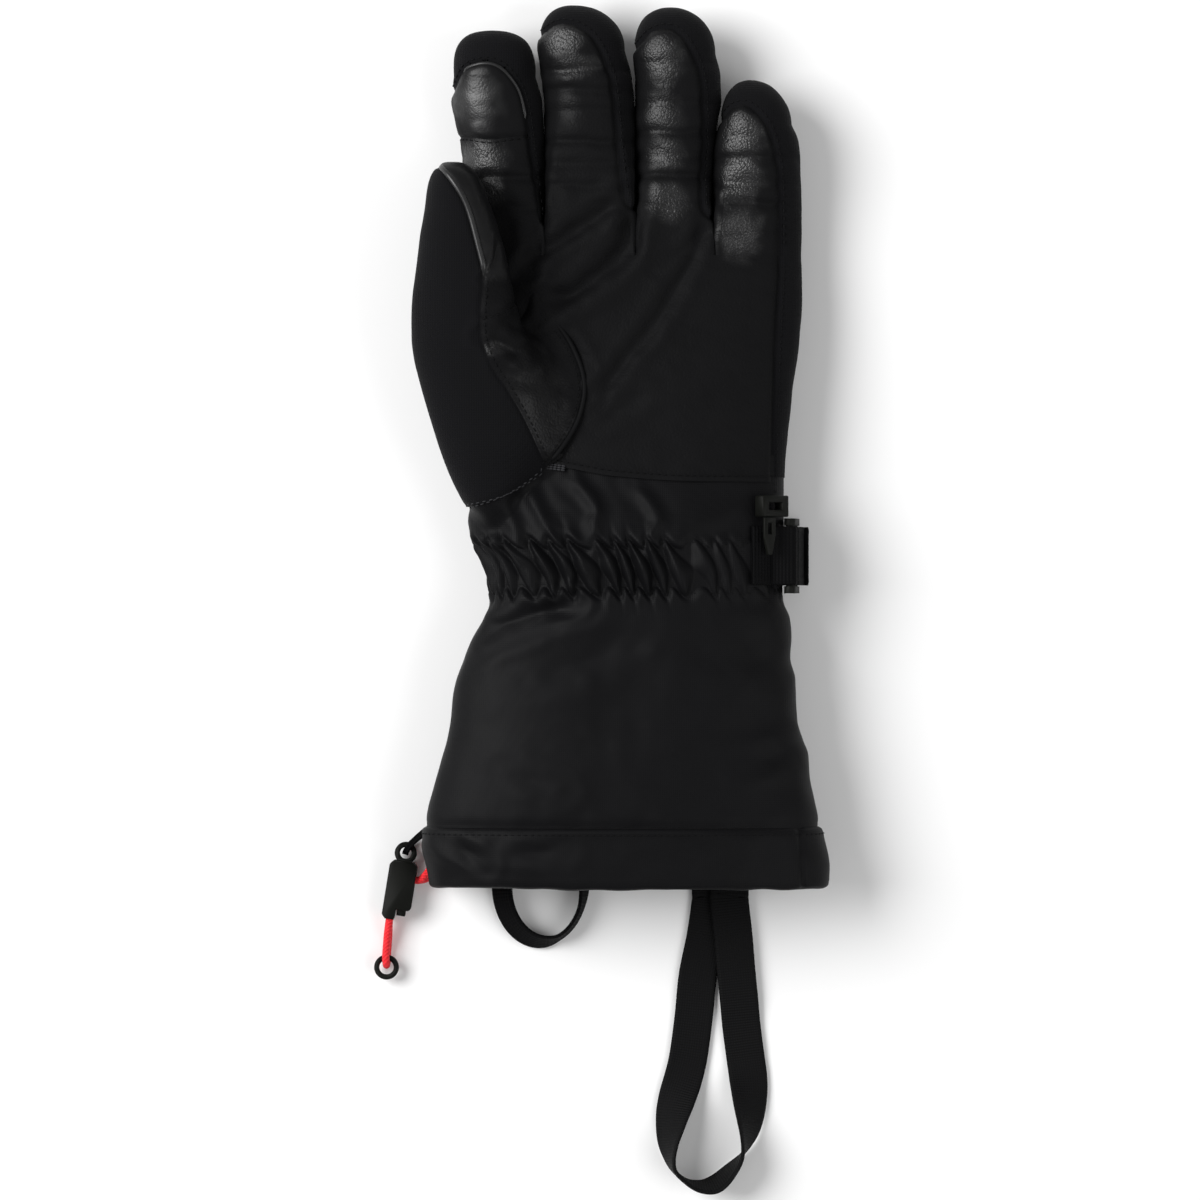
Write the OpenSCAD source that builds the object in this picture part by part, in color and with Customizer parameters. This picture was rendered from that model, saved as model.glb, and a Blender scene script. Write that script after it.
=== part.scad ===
// Insulated ski glove for the left hand, palm up, with a gauntlet cuff, cord lock and wrist leash.
// Units are millimetres. +X is the little-finger side, +Y the fingertips, +Z out of the palm.

/* [Hand] */
// Height of the finger bases above the wrist line
knuckle_y = 129; // [115:1:145]
// Height of the palm's lower hem above the wrist line
palm_y = 50; // [44:1:60]
// Thickness of the stuffed palm at its lower hem
palm_thick = 37; // [30:0.5:46]
// Thickness of the hand at the finger bases
knuckle_thick = 31; // [27:0.5:40]
// Left edge of the index finger at its base
index_edge_x = -60.5; // [-70:0.5:-50]
// Left edge of the palm under the thumb
palm_edge_x = -42; // [-48:0.5:-36]
// Right edge of the palm at its lower hem
heel_right_x = 62; // [55:0.5:70]

/* [Fingers] */
// Index finger, base to tip
index_len = 85; // [70:1:100]
// Middle finger, base to tip
middle_len = 95; // [80:1:110]
// Ring finger, base to tip
ring_len = 93; // [78:1:108]
// Little finger, base to tip
little_len = 67; // [55:1:80]
// Width of the index finger
index_w = 32; // [26:0.5:36]
// Width of the middle finger
middle_w = 34; // [26:0.5:38]
// Width of the ring finger
ring_w = 31.5; // [26:0.5:36]
// Width of the little finger
little_w = 29; // [24:0.5:34]
// Thickness of a stuffed finger
finger_thick = 27; // [22:0.5:31]
// Index finger, base to its bend
index_bend = 39; // [36:1:48]
// Middle finger, base to its bend
middle_bend = 43; // [34:1:52]
// Ring finger, base to its bend
ring_bend = 41; // [34:1:52]
// Little finger, base to its bend
little_bend = 32; // [24:1:38]
// Room between neighbouring fingers
finger_gap = 0.6; // [0.3:0.1:2]
// Lean of the fingers towards the thumb side
finger_lean = 3; // [0:0.5:6]
// Rise of a fingertip above the finger's base
tip_rise = 7; // [0:0.5:14]
// Length of the rounded end of a finger
finger_dome = 17; // [12:0.5:22]
// Lift of the finger bases off the table
finger_lift = 2.5; // [1:0.5:6]

/* [Fingertip patch] */
// Length of the smooth patch on the index tip
patch_len = 27; // [16:1:30]
// Distance of the patch from the end of the index finger
patch_top = 13; // [2:0.5:17]
// Thickness of the patch leather
patch_t = 0.9; // [0.6:0.1:1.5]
// Half angle that the patch covers
patch_angle = 62; // [40:1:80]

/* [Thumb] */
// Thumb, base to tip
thumb_len = 113; // [100:1:125]
// Width of the thumb at its base
thumb_base_w = 30; // [24:0.5:36]
// Width of the thumb at its fullest
thumb_full_w = 36; // [30:0.5:42]
// Width of the thumb where its tip starts to round
thumb_tip_w = 27; // [22:0.5:32]
// Thickness of the thumb
thumb_thick = 26; // [22:0.5:30]
// Centre of the thumb's base across the glove
thumb_base_x = -50; // [-58:0.5:-46]
// Centre of the thumb's upper half across the glove
thumb_top_x = -61; // [-68:0.5:-56]
// Height of the thumb's middle above the table
thumb_z = 41.5; // [40:0.5:48]
// Length of the rounded end of the thumb
thumb_dome = 16; // [10:0.5:20]

/* [Cloth] */
// Thickness of the outer leather and cloth
shell_t = 1.4; // [0.8:0.1:2]
// Thickness of the insulated liner
liner_t = 3.2; // [2:0.1:5]
// Room between two sewn layers
cloth_gap = 0.4; // [0.3:0.05:0.8]
// Room between two panels along a seam or a bend
seam_gap = 0.5; // [0.3:0.05:1]

/* [Wrist] */
// Left edge of the wrist
wrist_left_x = -49.5; // [-56:0.5:-44]
// Right edge of the wrist
wrist_right_x = 61; // [54:0.5:66]
// Thickness of the wrist
wrist_thick = 41; // [34:0.5:48]
// Lift of the wrist off the table, room for the strap
wrist_lift = 3; // [2.8:0.1:6]
// Upper edge of the gathered stretch
gather_top_y = 20; // [16:0.5:24]
// Lower edge of the gathered stretch
gather_low_y = -3; // [-6:0.5:0]
// Number of gathers round the wrist
gathers = 36; // [24:1:60]
// Depth of a gather
gather_depth = 0.8; // [0.3:0.1:1]
// Left edge of the heel, where thumb and palm part
heel_left_x = -65.5; // [-72:0.5:-60]
// Thickness of the heel away from the thumb
heel_thick = 38; // [32:0.5:48]
// Extra height of the heel at the thumb
heel_bulge = 18; // [10:0.5:26]
// Width of the elastic in the gather
elastic_w = 14; // [8:0.5:18]
// Thickness of the elastic
elastic_t = 1; // [0.6:0.1:1.6]

/* [Wrist strap] */
// Width of the strap webbing
strap_w = 22; // [18:0.5:24]
// Thickness of the strap webbing
strap_t = 1.4; // [1:0.1:1.8]
// Middle of the strap along the wrist
strap_y = 16.5; // [14:0.5:18]
// Distance of the buckle's sewn bar from the wrist's right edge
buckle_out = 2.5; // [2.2:0.1:5]
// Height of the buckle's sewn bar above the table
buckle_z = 32; // [30:0.5:36]
// Sewn bar to middle bar of the buckle
buckle_pitch = 8.5; // [7:0.5:11]
// Sewn bar to lower bar of the buckle
buckle_reach = 15; // [13:0.5:18]
// Lean of the buckle away from the wrist
buckle_lean = 7; // [4:0.5:14]
// Radius of a buckle bar
bar_r = 1.5; // [1.2:0.1:2]
// Radius of a buckle rail's ends
rail_r = 2.2; // [1.9:0.1:3]
// Thickness of a buckle rail
rail_t = 2.6; // [2:0.1:4]
// Length of the strap's free end
tail_len = 18; // [12:0.5:20]
// Length of the folded pull at the strap's free end
tail_fold = 5; // [3:0.5:8]

/* [Pair clip] */
// Width of the clip's block
clip_w = 12; // [9:0.5:14]
// Length of the clip's block
clip_len = 8; // [6:0.5:10]
// Height of the clip's block
clip_h = 5.4; // [4.6:0.1:7]
// Length of the clip's tongue
gate_len = 14; // [10:0.5:16]
// Width of the clip's tongue
gate_w = 5; // [4:0.1:7]
// Thickness of the clip's tongue
gate_t = 1.4; // [1:0.1:2]
// Distance of the tongue's middle from the middle of the block
gate_aside = 2.6; // [0:0.1:3]

/* [Cuff] */
// Height of the hem seam, below the wrist line
hem_seam_y = -85; // [-95:1:-75]
// Height of the hem's lower edge, below the wrist line
hem_y = -108; // [-118:1:-102]
// Left edge of the hem
hem_left_x = -73; // [-80:0.5:-66]
// Right edge of the hem
hem_right_x = 78.4; // [70:0.1:84]
// Thickness of the lying cuff at the hem
hem_thick = 50; // [40:1:60]
// Room for the cord inside the hem
hem_channel = 3.6; // [3.4:0.1:5]

/* [Drawcord] */
// Diameter of the elastic drawcord
cord_d = 2.8; // [2:0.1:3]
// Angle of the eyelet round the hem
eyelet_angle = 205; // [200:1:212]
// Radius of the eyelet's hole
eyelet_r = 3.6; // [3.4:0.1:4.2]
// Width of the eyelet's flange
eyelet_flange = 1.8; // [1:0.1:2.5]
// Thickness of the eyelet's flange
eyelet_t = 0.8; // [0.5:0.1:1.2]

/* [Cord lock] */
// Eye centre to the lower end of the lock
lock_len = 25.5; // [24:0.5:27]
// Width of the lock
lock_w = 10.5; // [10.2:0.1:13]
// Height of the lock
lock_h = 9.2; // [8.8:0.1:11]
// Radius of the tether eye's hole
eye_r = 2.2; // [2:0.1:2.8]
// Wall round the tether eye
eye_wall = 2; // [1.5:0.1:2.6]
// Height of the tether eye's bar
eye_h = 3.6; // [3:0.1:4.4]
// Room between the slider and the lock's walls
slider_gap = 0.15; // [0.1:0.05:0.3]
// Length of the slider
slider_len = 11; // [8:0.5:12]
// Wire of the lock's spring
spring_wire = 0.5; // [0.4:0.05:0.7]
// Turns of the lock's spring
spring_turns = 4; // [3:1:5]

/* [Cord ring] */
// Outer radius of the ring
ring_r = 4.7; // [4:0.1:6]
// Hole radius of the ring
ring_hole_r = 2.7; // [2.2:0.1:3.2]
// Height of the ring
ring_h = 2.6; // [2:0.1:2.8]

/* [Tether] */
// Width of the tether tape
tether_w = 2.4; // [1.6:0.1:3]
// Thickness of the tether tape
tether_t = 0.7; // [0.4:0.1:1]

/* [Hang loop] */
// Width of the hang loop's webbing
loop_w = 9; // [6:0.5:12]
// Thickness of the hang loop's webbing
loop_t = 1.4; // [0.8:0.1:2]
// Width of the hang loop between its webbing's middles
loop_span = 31; // [22:1:40]
// Depth of the hang loop below the hem
loop_depth = 20; // [14:1:30]
// Middle of the hang loop across the hem
loop_x = -29; // [-40:1:-20]

/* [Leash] */
// Width of the leash webbing
leash_w = 14.5; // [10:0.5:16]
// Thickness of the leash webbing
leash_t = 1.6; // [1:0.1:2]

/* [Hidden] */
$fn = 48;

leather = [0.10, 0.10, 0.11];
softshell = [0.07, 0.07, 0.08];
nylon = [0.16, 0.16, 0.18];
fleece = [0.25, 0.25, 0.27];
plastic = [0.05, 0.05, 0.06];
webbing = [0.09, 0.09, 0.10];
red = [0.75, 0.05, 0.06];
steel = [0.6, 0.6, 0.62];

// Share of a tube's half height left below its middle, so that it lies flat
flat = 0.93;
// Squareness of the cross-sections: 2 is an ellipse
finger_square = 2.2;
palm_square = 2.8;
cuff_square = 2.4;

function smooth(u) = let (c = max(0, min(1, u))) c * c * (3 - 2 * c);
function mix(a, b, u) = a + (b - a) * u;
function spow(v, p) = sign(v) * pow(abs(v), p);
function unit(v) = v / norm(v);
function steps(a, b, n) = [for (i = [0 : n]) a + (b - a) * i / n];

// A station is [y, centre x, centre z, half width, half height, inset share, inset along y, squareness, bulge]
function station(y, left, right, low, thick, square, bulge = 0) =
  [y, (left + right) / 2, low + thick * flat / (1 + flat), (right - left) / 2, thick / (1 + flat), 1, 0, square, bulge];

function section(st, phi, inset) =
  let (
    p = 2 / st[7],
    lift = st[8] * 2 * max(0, sin(phi)) * max(0, -cos(phi))
  )
  [
    st[1] + (st[3] - inset * st[5]) * spow(cos(phi), p),
    st[0] - inset * st[6],
    st[2] + (st[4] - inset * st[5]) * max(spow(sin(phi), p), -flat) + lift
  ];

function grid(stations, phis, inset) = [for (st = stations) [for (p = phis) section(st, p, inset)]];

// Middle of a rounded end, pushed in by the inset
function apex(st, inset) = [st[1], st[0] - inset, st[2]];

function quad(a, b, c, d) = [[a, b, c], [a, c, d]];

// Closed solid between an outer and an inner grid, open or wrapped round, with or without a rounded end
module slab(outer, inner, wrap = false, tips = []) {
  rows = len(outer);
  cols = len(outer[0]);
  n = rows * cols;
  last = wrap ? cols - 1 : cols - 2;
  top = rows - 1;
  side = cols - 1;
  outer_tip = 2 * n;
  inner_tip = 2 * n + 1;
  domed = len(tips) == 2;
  points = concat([for (r = outer) for (p = r) p], [for (r = inner) for (p = r) p], tips);
  skin_faces = [
    for (i = [0 : rows - 2]) for (j = [0 : last])
      let (k = (j + 1) % cols, a = i * cols + j, b = i * cols + k, c = a + cols, d = b + cols)
      each concat(quad(a, b, d, c), quad(n + a, n + c, n + d, n + b))
  ];
  low_rim = [for (j = [0 : last]) let (k = (j + 1) % cols) each quad(k, j, n + j, n + k)];
  top_rim = domed
    ? [for (j = [0 : last]) let (a = top * cols + j, b = top * cols + (j + 1) % cols)
        each [[a, b, outer_tip], [n + a, inner_tip, n + b]]]
    : [for (j = [0 : last]) let (a = top * cols + j, b = top * cols + (j + 1) % cols)
        each quad(a, b, n + b, n + a)];
  side_walls = wrap ? [] : [
    for (i = [0 : rows - 2])
      let (a = i * cols, c = a + cols, e = a + side, f = c + side)
      each concat(quad(a, c, n + c, n + a), quad(f, e, n + e, n + f))
  ];
  tip_walls = wrap || !domed ? [] : concat(
    quad(top * cols, outer_tip, inner_tip, n + top * cols),
    quad(outer_tip, top * cols + side, n + top * cols + side, inner_tip)
  );
  polyhedron(points, concat(skin_faces, low_rim, top_rim, side_walls, tip_walls), convexity = 10);
}

// Wrapped ring whose closed profile is a list of [station, inset]
module band(profile, cols) {
  count = len(profile);
  points = [for (j = [0 : cols - 1]) for (q = profile) section(q[0], 360 * j / cols, q[1])];
  faces = [
    for (j = [0 : cols - 1]) for (i = [0 : count - 1])
      let (k = (j + 1) % cols, m = (i + 1) % count)
      each quad(j * count + i, j * count + m, k * count + m, k * count + i)
  ];
  polyhedron(points, faces, convexity = 10);
}

// Round tube along a list of points
module tube(route, d, sides = 8) {
  count = len(route);
  dirs = [
    for (i = [0 : count - 1])
      unit(route[min(i + 1, count - 1)] - route[max(i - 1, 0)])
  ];
  points = [
    for (i = [0 : count - 1])
      let (
        t = dirs[i],
        ref = abs(t[2]) < 0.95 ? [0, 0, 1] : [0, 1, 0],
        u = unit(cross(t, ref)),
        v = cross(t, u)
      )
      for (s = [0 : sides - 1]) route[i] + (u * cos(360 * s / sides) + v * sin(360 * s / sides)) * d / 2
  ];
  walls = [
    for (i = [0 : count - 2]) for (s = [0 : sides - 1])
      let (a = i * sides + s, b = i * sides + (s + 1) % sides)
      each quad(a, a + sides, b + sides, b)
  ];
  start = [[for (s = [0 : sides - 1]) s]];
  stop = [[for (s = [sides - 1 : -1 : 0]) (count - 1) * sides + s]];
  polyhedron(points, concat(walls, start, stop), convexity = 10);
}

// Flat webbing along a list of [point, tilt], where a tilt of 90 stands it on its edge
module ribbon(route, w, t) {
  count = len(route);
  points = [
    for (i = [0 : count - 1])
      let (
        dir = unit(route[min(i + 1, count - 1)][0] - route[max(i - 1, 0)][0]),
        across = unit(cross([0, 0, 1], dir)),
        rise = cross(dir, across),
        wide = across * cos(route[i][1]) + rise * sin(route[i][1]),
        face = cross(dir, wide),
        c = route[i][0]
      )
      for (q = [[1, 1], [-1, 1], [-1, -1], [1, -1]]) c + wide * q[0] * w / 2 + face * q[1] * t / 2
  ];
  walls = [
    for (i = [0 : count - 2]) for (s = [0 : 3])
      let (a = i * 4 + s, b = i * 4 + (s + 1) % 4)
      each quad(a, a + 4, b + 4, b)
  ];
  e = (count - 1) * 4;
  polyhedron(points, concat(walls, [[0, 1, 2], [0, 2, 3], [e, e + 2, e + 1], [e, e + 3, e + 2]]), convexity = 10);
}

// Points on a smooth curve through a list of vectors, with some steps between each two
function curve(list, n) = let (m = len(list)) concat(
  [
    for (i = [0 : m - 2]) for (k = [0 : n - 1])
      let (
        u = k / n,
        a = list[max(i - 1, 0)], b = list[i], c = list[i + 1], d = list[min(i + 2, m - 1)]
      )
      0.5 * (2 * b + (c - a) * u + (2 * a - 5 * b + 4 * c - d) * u * u + (3 * b - a - 3 * c + d) * u * u * u)
  ],
  [list[m - 1]]
);

// Depths of the layers, from the outside in
liner_in = shell_t + cloth_gap;
liner_out = liner_in + liner_t;

// Fingers, index to little
finger_w = [index_w, middle_w, ring_w, little_w];
finger_len = [index_len, middle_len, ring_len, little_len];
finger_bend = [index_bend, middle_bend, ring_bend, little_bend];
finger_x = [
  index_edge_x + index_w / 2,
  index_edge_x + index_w + finger_gap + middle_w / 2,
  index_edge_x + index_w + middle_w + 2 * finger_gap + ring_w / 2,
  index_edge_x + index_w + middle_w + ring_w + 3 * finger_gap + little_w / 2
];
row_right_x = finger_x[3] + little_w / 2;

function finger_station(f, d) =
  let (
    x = finger_x[f] - tan(finger_lean) * d,
    low = finger_lift + tip_rise * pow(d / finger_len[f], 2)
  )
  station(knuckle_y + d, x - finger_w[f] / 2, x + finger_w[f] / 2, low, finger_thick, finger_square);

// The rounded end: the same section drawn in as it nears the tip
function dome_station(st, along, dome) =
  let (tau = asin(along))
  [st[0] + dome * along, st[1], st[2], st[3] * cos(tau), st[4] * cos(tau), cos(tau), along, st[7], 0];

function finger_base(f) = [
  for (d = steps(seam_gap / 2, finger_bend[f] - seam_gap / 2, 2)) finger_station(f, d)
];
function finger_tip(f) =
  let (start = finger_len[f] - finger_dome)
  concat(
    [for (d = steps(finger_bend[f] + seam_gap / 2, start, 2)) finger_station(f, d)],
    [for (s = [0.35, 0.62, 0.82, 0.94]) dome_station(finger_station(f, start), s, finger_dome)]
  );
function finger_apex(f, inset) =
  let (st = finger_station(f, finger_len[f] - finger_dome))
  [st[1], knuckle_y + finger_len[f] - inset, st[2]];

// Angle that leaves half a seam's room at the side of a tube
function seam_phi(half) = asin(min(0.5, seam_gap / half / 2));

front = function (half) steps(seam_phi(half), 180 - seam_phi(half), 10);
back = function (half) steps(180 + seam_phi(half), 360 - seam_phi(half), 10);
round_phis = [for (j = [0 : 15]) 22.5 * j];

module half_tube(stations, phis, tips = []) {
  slab(grid(stations, phis, 0), grid(stations, phis, shell_t), false, tips);
}

module lining(stations, tips = []) {
  slab(grid(stations, round_phis, liner_in), grid(stations, round_phis, liner_out), true, tips);
}

module finger_base_leather(f) { color(leather) half_tube(finger_base(f), front(finger_thick / 2)); }
module finger_base_softshell(f) { color(softshell) half_tube(finger_base(f), back(finger_thick / 2)); }
module finger_base_liner(f) { color(fleece) lining(finger_base(f)); }
module finger_tip_leather(f) {
  color(leather)
    half_tube(finger_tip(f), front(finger_thick / 2), [finger_apex(f, 0) + [0, 0, seam_gap / 4], finger_apex(f, shell_t) + [0, 0, seam_gap / 4]]);
}
module finger_tip_softshell(f) {
  color(softshell)
    half_tube(finger_tip(f), back(finger_thick / 2), [finger_apex(f, 0) - [0, 0, seam_gap / 4], finger_apex(f, shell_t) - [0, 0, seam_gap / 4]]);
}
module finger_tip_liner(f) {
  color(fleece) lining(finger_tip(f), [finger_apex(f, liner_in), finger_apex(f, liner_out)]);
}

module index_tip_patch() {
  start = index_len - finger_dome;
  top = index_len - patch_top;
  rows = concat(
    [for (d = steps(top - patch_len, min(start, top), 3)) finger_station(0, d)],
    [for (s = [0.5, 1]) if (top > start) dome_station(finger_station(0, start), s * (top - start) / finger_dome, finger_dome)]
  );
  phis = steps(90 - patch_angle, 90 + patch_angle, 10);
  color(leather) slab(grid(rows, phis, -cloth_gap - patch_t), grid(rows, phis, -cloth_gap));
}

// Palm
function palm_station(y) =
  let (u = (y - palm_y) / (knuckle_y - palm_y))
  station(
    y,
    mix(palm_edge_x, index_edge_x, pow(u, 2.5)),
    mix(heel_right_x, row_right_x, smooth(u)),
    0,
    mix(palm_thick, knuckle_thick, u),
    palm_square
  );
palm_rows = [for (y = steps(palm_y + seam_gap, knuckle_y - seam_gap / 2, 5)) palm_station(y)];

module palm_leather() { color(leather) half_tube(palm_rows, steps(1, 179, 18)); }
module back_softshell() { color(softshell) half_tube(palm_rows, steps(181, 359, 18)); }
module hand_liner() { color(fleece) lining(palm_rows); }

// Thumb
thumb_y = palm_y + seam_gap;
function thumb_station(d) =
  let (
    u = d / (thumb_len - thumb_dome),
    x = mix(thumb_base_x, thumb_top_x, smooth(u / 0.5)),
    w = u < 0.4 ? mix(thumb_base_w, thumb_full_w, smooth(u / 0.4)) : mix(thumb_full_w, thumb_tip_w, smooth((u - 0.4) / 0.6))
  )
  station(thumb_y + d, x - w / 2, x + w / 2, thumb_z - thumb_thick * flat / (1 + flat), thumb_thick, finger_square);
thumb_start = thumb_len - thumb_dome;
thumb_rows = concat(
  [for (d = steps(0, thumb_start, 7)) thumb_station(d)],
  [for (s = [0.35, 0.62, 0.82, 0.94]) dome_station(thumb_station(thumb_start), s, thumb_dome)]
);
function thumb_apex(inset) =
  let (st = thumb_station(thumb_start))
  [st[1], thumb_y + thumb_len - inset, st[2]];

module thumb_leather() {
  color(leather)
    half_tube(thumb_rows, front(thumb_thick / 2), [thumb_apex(0) + [0, 0, seam_gap / 4], thumb_apex(shell_t) + [0, 0, seam_gap / 4]]);
}
module thumb_softshell() {
  color(softshell)
    half_tube(thumb_rows, back(thumb_thick / 2), [thumb_apex(0) - [0, 0, seam_gap / 4], thumb_apex(shell_t) - [0, 0, seam_gap / 4]]);
}
module thumb_liner() { color(fleece) lining(thumb_rows, [thumb_apex(liner_in), thumb_apex(liner_out)]); }

// Wrist: one run of sections from the gather up to the heel
function wrist_station(y) =
  let (u = smooth((y - gather_top_y) / (palm_y - gather_top_y)), lift_u = smooth((y - gather_top_y - 10) / (palm_y - gather_top_y - 10)))
  station(
    y,
    mix(wrist_left_x, heel_left_x, u),
    mix(wrist_right_x, heel_right_x, u),
    mix(wrist_lift, 0, lift_u),
    mix(wrist_thick, heel_thick, u),
    cuff_square,
    heel_bulge * u
  );
wrist_rows = [for (y = steps(gather_top_y + seam_gap, palm_y, 4)) wrist_station(y)];
gather_line = steps(gather_low_y, gather_top_y, 2);
gather_ends = [gather_low_y, gather_top_y];
cuff_phis = [for (j = [0 : 31]) 11.25 * j];

function gather_point(y, phi, inset) =
  let (
    st = wrist_station(gather_top_y),
    p = section(st, phi, inset)
  )
  [p[0], y, p[2]];

module wrist_panel() {
  color(nylon) slab(grid(wrist_rows, cuff_phis, 0), grid(wrist_rows, cuff_phis, shell_t), true);
}
module wrist_liner() {
  color(fleece) slab(grid(wrist_rows, cuff_phis, liner_in), grid(wrist_rows, cuff_phis, liner_out), true);
}
module wrist_gather() {
  cols = gathers * 4;
  phis = [for (j = [0 : cols - 1]) 360 * j / cols];
  outer = [
    for (y = gather_line)
      let (s = sin(180 * (y - gather_low_y) / (gather_top_y - gather_low_y)))
      [for (p = phis) gather_point(y, p, gather_depth * s * (0.5 - 0.5 * cos(gathers * p)))]
  ];
  inner = [for (y = gather_line) [for (p = phis) gather_point(y, p, shell_t)]];
  color(nylon) slab(outer, inner, true);
}
module gather_liner() {
  low = liner_in + elastic_t + cloth_gap;
  outer = [for (y = gather_ends) [for (p = cuff_phis) gather_point(y, p, low)]];
  inner = [for (y = gather_ends) [for (p = cuff_phis) gather_point(y, p, low + liner_t)]];
  color(fleece) slab(outer, inner, true);
}
module wrist_elastic() {
  mid = (gather_low_y + gather_top_y) / 2;
  line = [mid - elastic_w / 2, mid + elastic_w / 2];
  outer = [for (y = line) [for (p = cuff_phis) gather_point(y, p, liner_in)]];
  inner = [for (y = line) [for (p = cuff_phis) gather_point(y, p, liner_in + elastic_t)]];
  color(webbing) slab(outer, inner, true);
}

// Wrist strap, buckle and clip
strap_low = strap_y - strap_w / 2;
strap_top = strap_y + strap_w / 2;
strap_rows = [for (y = [strap_low, gather_top_y, strap_top]) let (st = wrist_station(max(y, gather_top_y))) [y, st[1], st[2], st[3], st[4], 1, 0, st[7], st[8]]];
bar_x = wrist_right_x + buckle_out;
down = [sin(buckle_lean), 0, -cos(buckle_lean)];
out = [cos(buckle_lean), 0, sin(buckle_lean)];
sewn_bar = [bar_x, strap_y, buckle_z];
bar_gap = 0.2;
// Angles round the wrist where the strap and its sewn anchor end
strap_from = 200;
anchor_to = 42;
rail_in = strap_w / 2 + bar_gap * 2;

module wrist_strap() {
  phis = steps(strap_from, 354, 24);
  color(webbing) slab(grid(strap_rows, phis, -cloth_gap - strap_t), grid(strap_rows, phis, -cloth_gap));
}

// The wrist's own outline at the strap, as points in X and Z
function wrist_edge(phi, inset) =
  let (p = section(wrist_station(gather_top_y + 1), phi, inset))
  [p[0], p[2]];

module along_y(y0, y1) { translate([0, y1, 0]) rotate([90, 0, 0]) linear_extrude(y1 - y0) children(); }

module strap_anchor() {
  phis = steps(18, anchor_to, 8);
  near = bar_r + bar_gap;
  inner = -cloth_gap * 2;
  color(webbing) difference() {
    union() {
      along_y(strap_low, strap_top) polygon(concat(
        [for (i = [len(phis) - 1 : -1 : 0]) wrist_edge(phis[i], inner)],
        [[sewn_bar[0] - near - strap_t / 2, sewn_bar[2] - near / 2], [sewn_bar[0], sewn_bar[2]]],
        [[sewn_bar[0], sewn_bar[2] + near + strap_t]],
        [for (i = [1 : len(phis) - 1]) wrist_edge(phis[i], inner - strap_t)]
      ));
      along_y(strap_low, strap_top) translate([sewn_bar[0], sewn_bar[2]]) circle(near + strap_t);
    }
    along_y(strap_low - 1, strap_top + 1) translate([sewn_bar[0], sewn_bar[2]]) circle(near);
  }
}

module bar_at(reach) {
  p = sewn_bar + down * reach;
  translate([p[0], strap_y - rail_in - rail_t / 2, p[2]]) rotate([-90, 0, 0]) cylinder(h = 2 * rail_in + rail_t, r = bar_r);
}

module rail(side) {
  y0 = side > 0 ? strap_y + rail_in : strap_y - rail_in - rail_t;
  low = sewn_bar + down * buckle_reach;
  along_y(y0, y0 + rail_t) {
    translate([sewn_bar[0], sewn_bar[2]]) circle(rail_r);
    translate([low[0], low[2]]) circle(rail_r);
    translate([sewn_bar[0], sewn_bar[2]]) rotate(buckle_lean) translate([-rail_r, -buckle_reach]) square([2 * rail_r, buckle_reach]);
  }
}

module buckle_frame() {
  color(plastic) {
    rail(1);
    rail(-1);
    bar_at(0);
    bar_at(buckle_pitch);
    bar_at(buckle_reach);
  }
}

module strap_tail() {
  start = sewn_bar + down * (buckle_pitch + 2) + out * (bar_r + bar_gap);
  stop = start + down * tail_len;
  fold = start + down * (tail_len - tail_fold);
  color(webbing) along_y(strap_low, strap_top) polygon([
    [start[0], start[2]],
    [stop[0], stop[2]],
    [stop[0] + out[0] * strap_t * 2, stop[2] + out[2] * strap_t * 2],
    [fold[0] + out[0] * strap_t * 2, fold[2] + out[2] * strap_t * 2],
    [fold[0] + out[0] * strap_t, fold[2] + out[2] * strap_t],
    [start[0] + out[0] * strap_t, start[2] + out[2] * strap_t]
  ]);
}

clip_phi = 30;
clip_y = strap_y + rail_in + rail_t + seam_gap;
clip_seat = section(wrist_station(clip_y), clip_phi, -cloth_gap);
clip_run = section(wrist_station(clip_y), clip_phi - 4, 0) - section(wrist_station(clip_y), clip_phi + 4, 0);
// The clip lies along the wrist's own slope there, over the strap's sewn end
clip_tilt = atan2(-clip_run[2], clip_run[0]);
gate_rise = clip_h - gate_t;
module on_clip() { translate([clip_seat[0], clip_y, clip_seat[2]]) rotate([0, clip_tilt, 0]) children(); }

module pair_clip() {
  color(plastic) on_clip() difference() {
    translate([-clip_w / 2, 0, 0]) cube([clip_w, clip_len, clip_h]);
    translate([-clip_w / 4, clip_len / 3, -1]) cube([clip_w / 2, clip_len / 3, clip_h + 2]);
  }
}
module clip_gate() {
  color(plastic) on_clip() translate([-gate_w / 2 - gate_aside, -bar_gap - gate_len, gate_rise]) difference() {
    linear_extrude(gate_t) polygon([[0, gate_len], [gate_w, gate_len], [gate_w, gate_len / 2], [gate_w * 0.7, 0], [gate_w * 0.3, 0], [0, gate_len / 2]]);
    translate([gate_w * 0.32, gate_len * 0.55, -1]) cube([gate_w * 0.36, gate_len * 0.3, gate_t + 2]);
  }
}

// Cuff
function cuff_station(y) =
  let (u = (gather_low_y - y) / (gather_low_y - hem_seam_y))
  station(
    y,
    mix(wrist_left_x, hem_left_x, pow(min(1, max(0, u)), 0.75)),
    mix(wrist_right_x, hem_right_x, pow(min(1, max(0, u)), 0.9)),
    wrist_lift * (1 - smooth(u / 0.4)),
    mix(wrist_thick, hem_thick, smooth(u)),
    cuff_square
  );
cuff_rows = [for (y = steps(hem_seam_y, gather_low_y - seam_gap, 5)) cuff_station(y)];
hem_top = hem_seam_y - seam_gap;
hem_wall = shell_t + hem_channel;
cord_y = (hem_top + hem_y) / 2 - 3;

module gauntlet_shell() {
  color(nylon) slab(grid(cuff_rows, cuff_phis, 0), grid(cuff_rows, cuff_phis, shell_t), true);
}
module cuff_liner() {
  color(fleece) slab(grid(cuff_rows, cuff_phis, liner_in), grid(cuff_rows, cuff_phis, liner_out), true);
}

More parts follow.
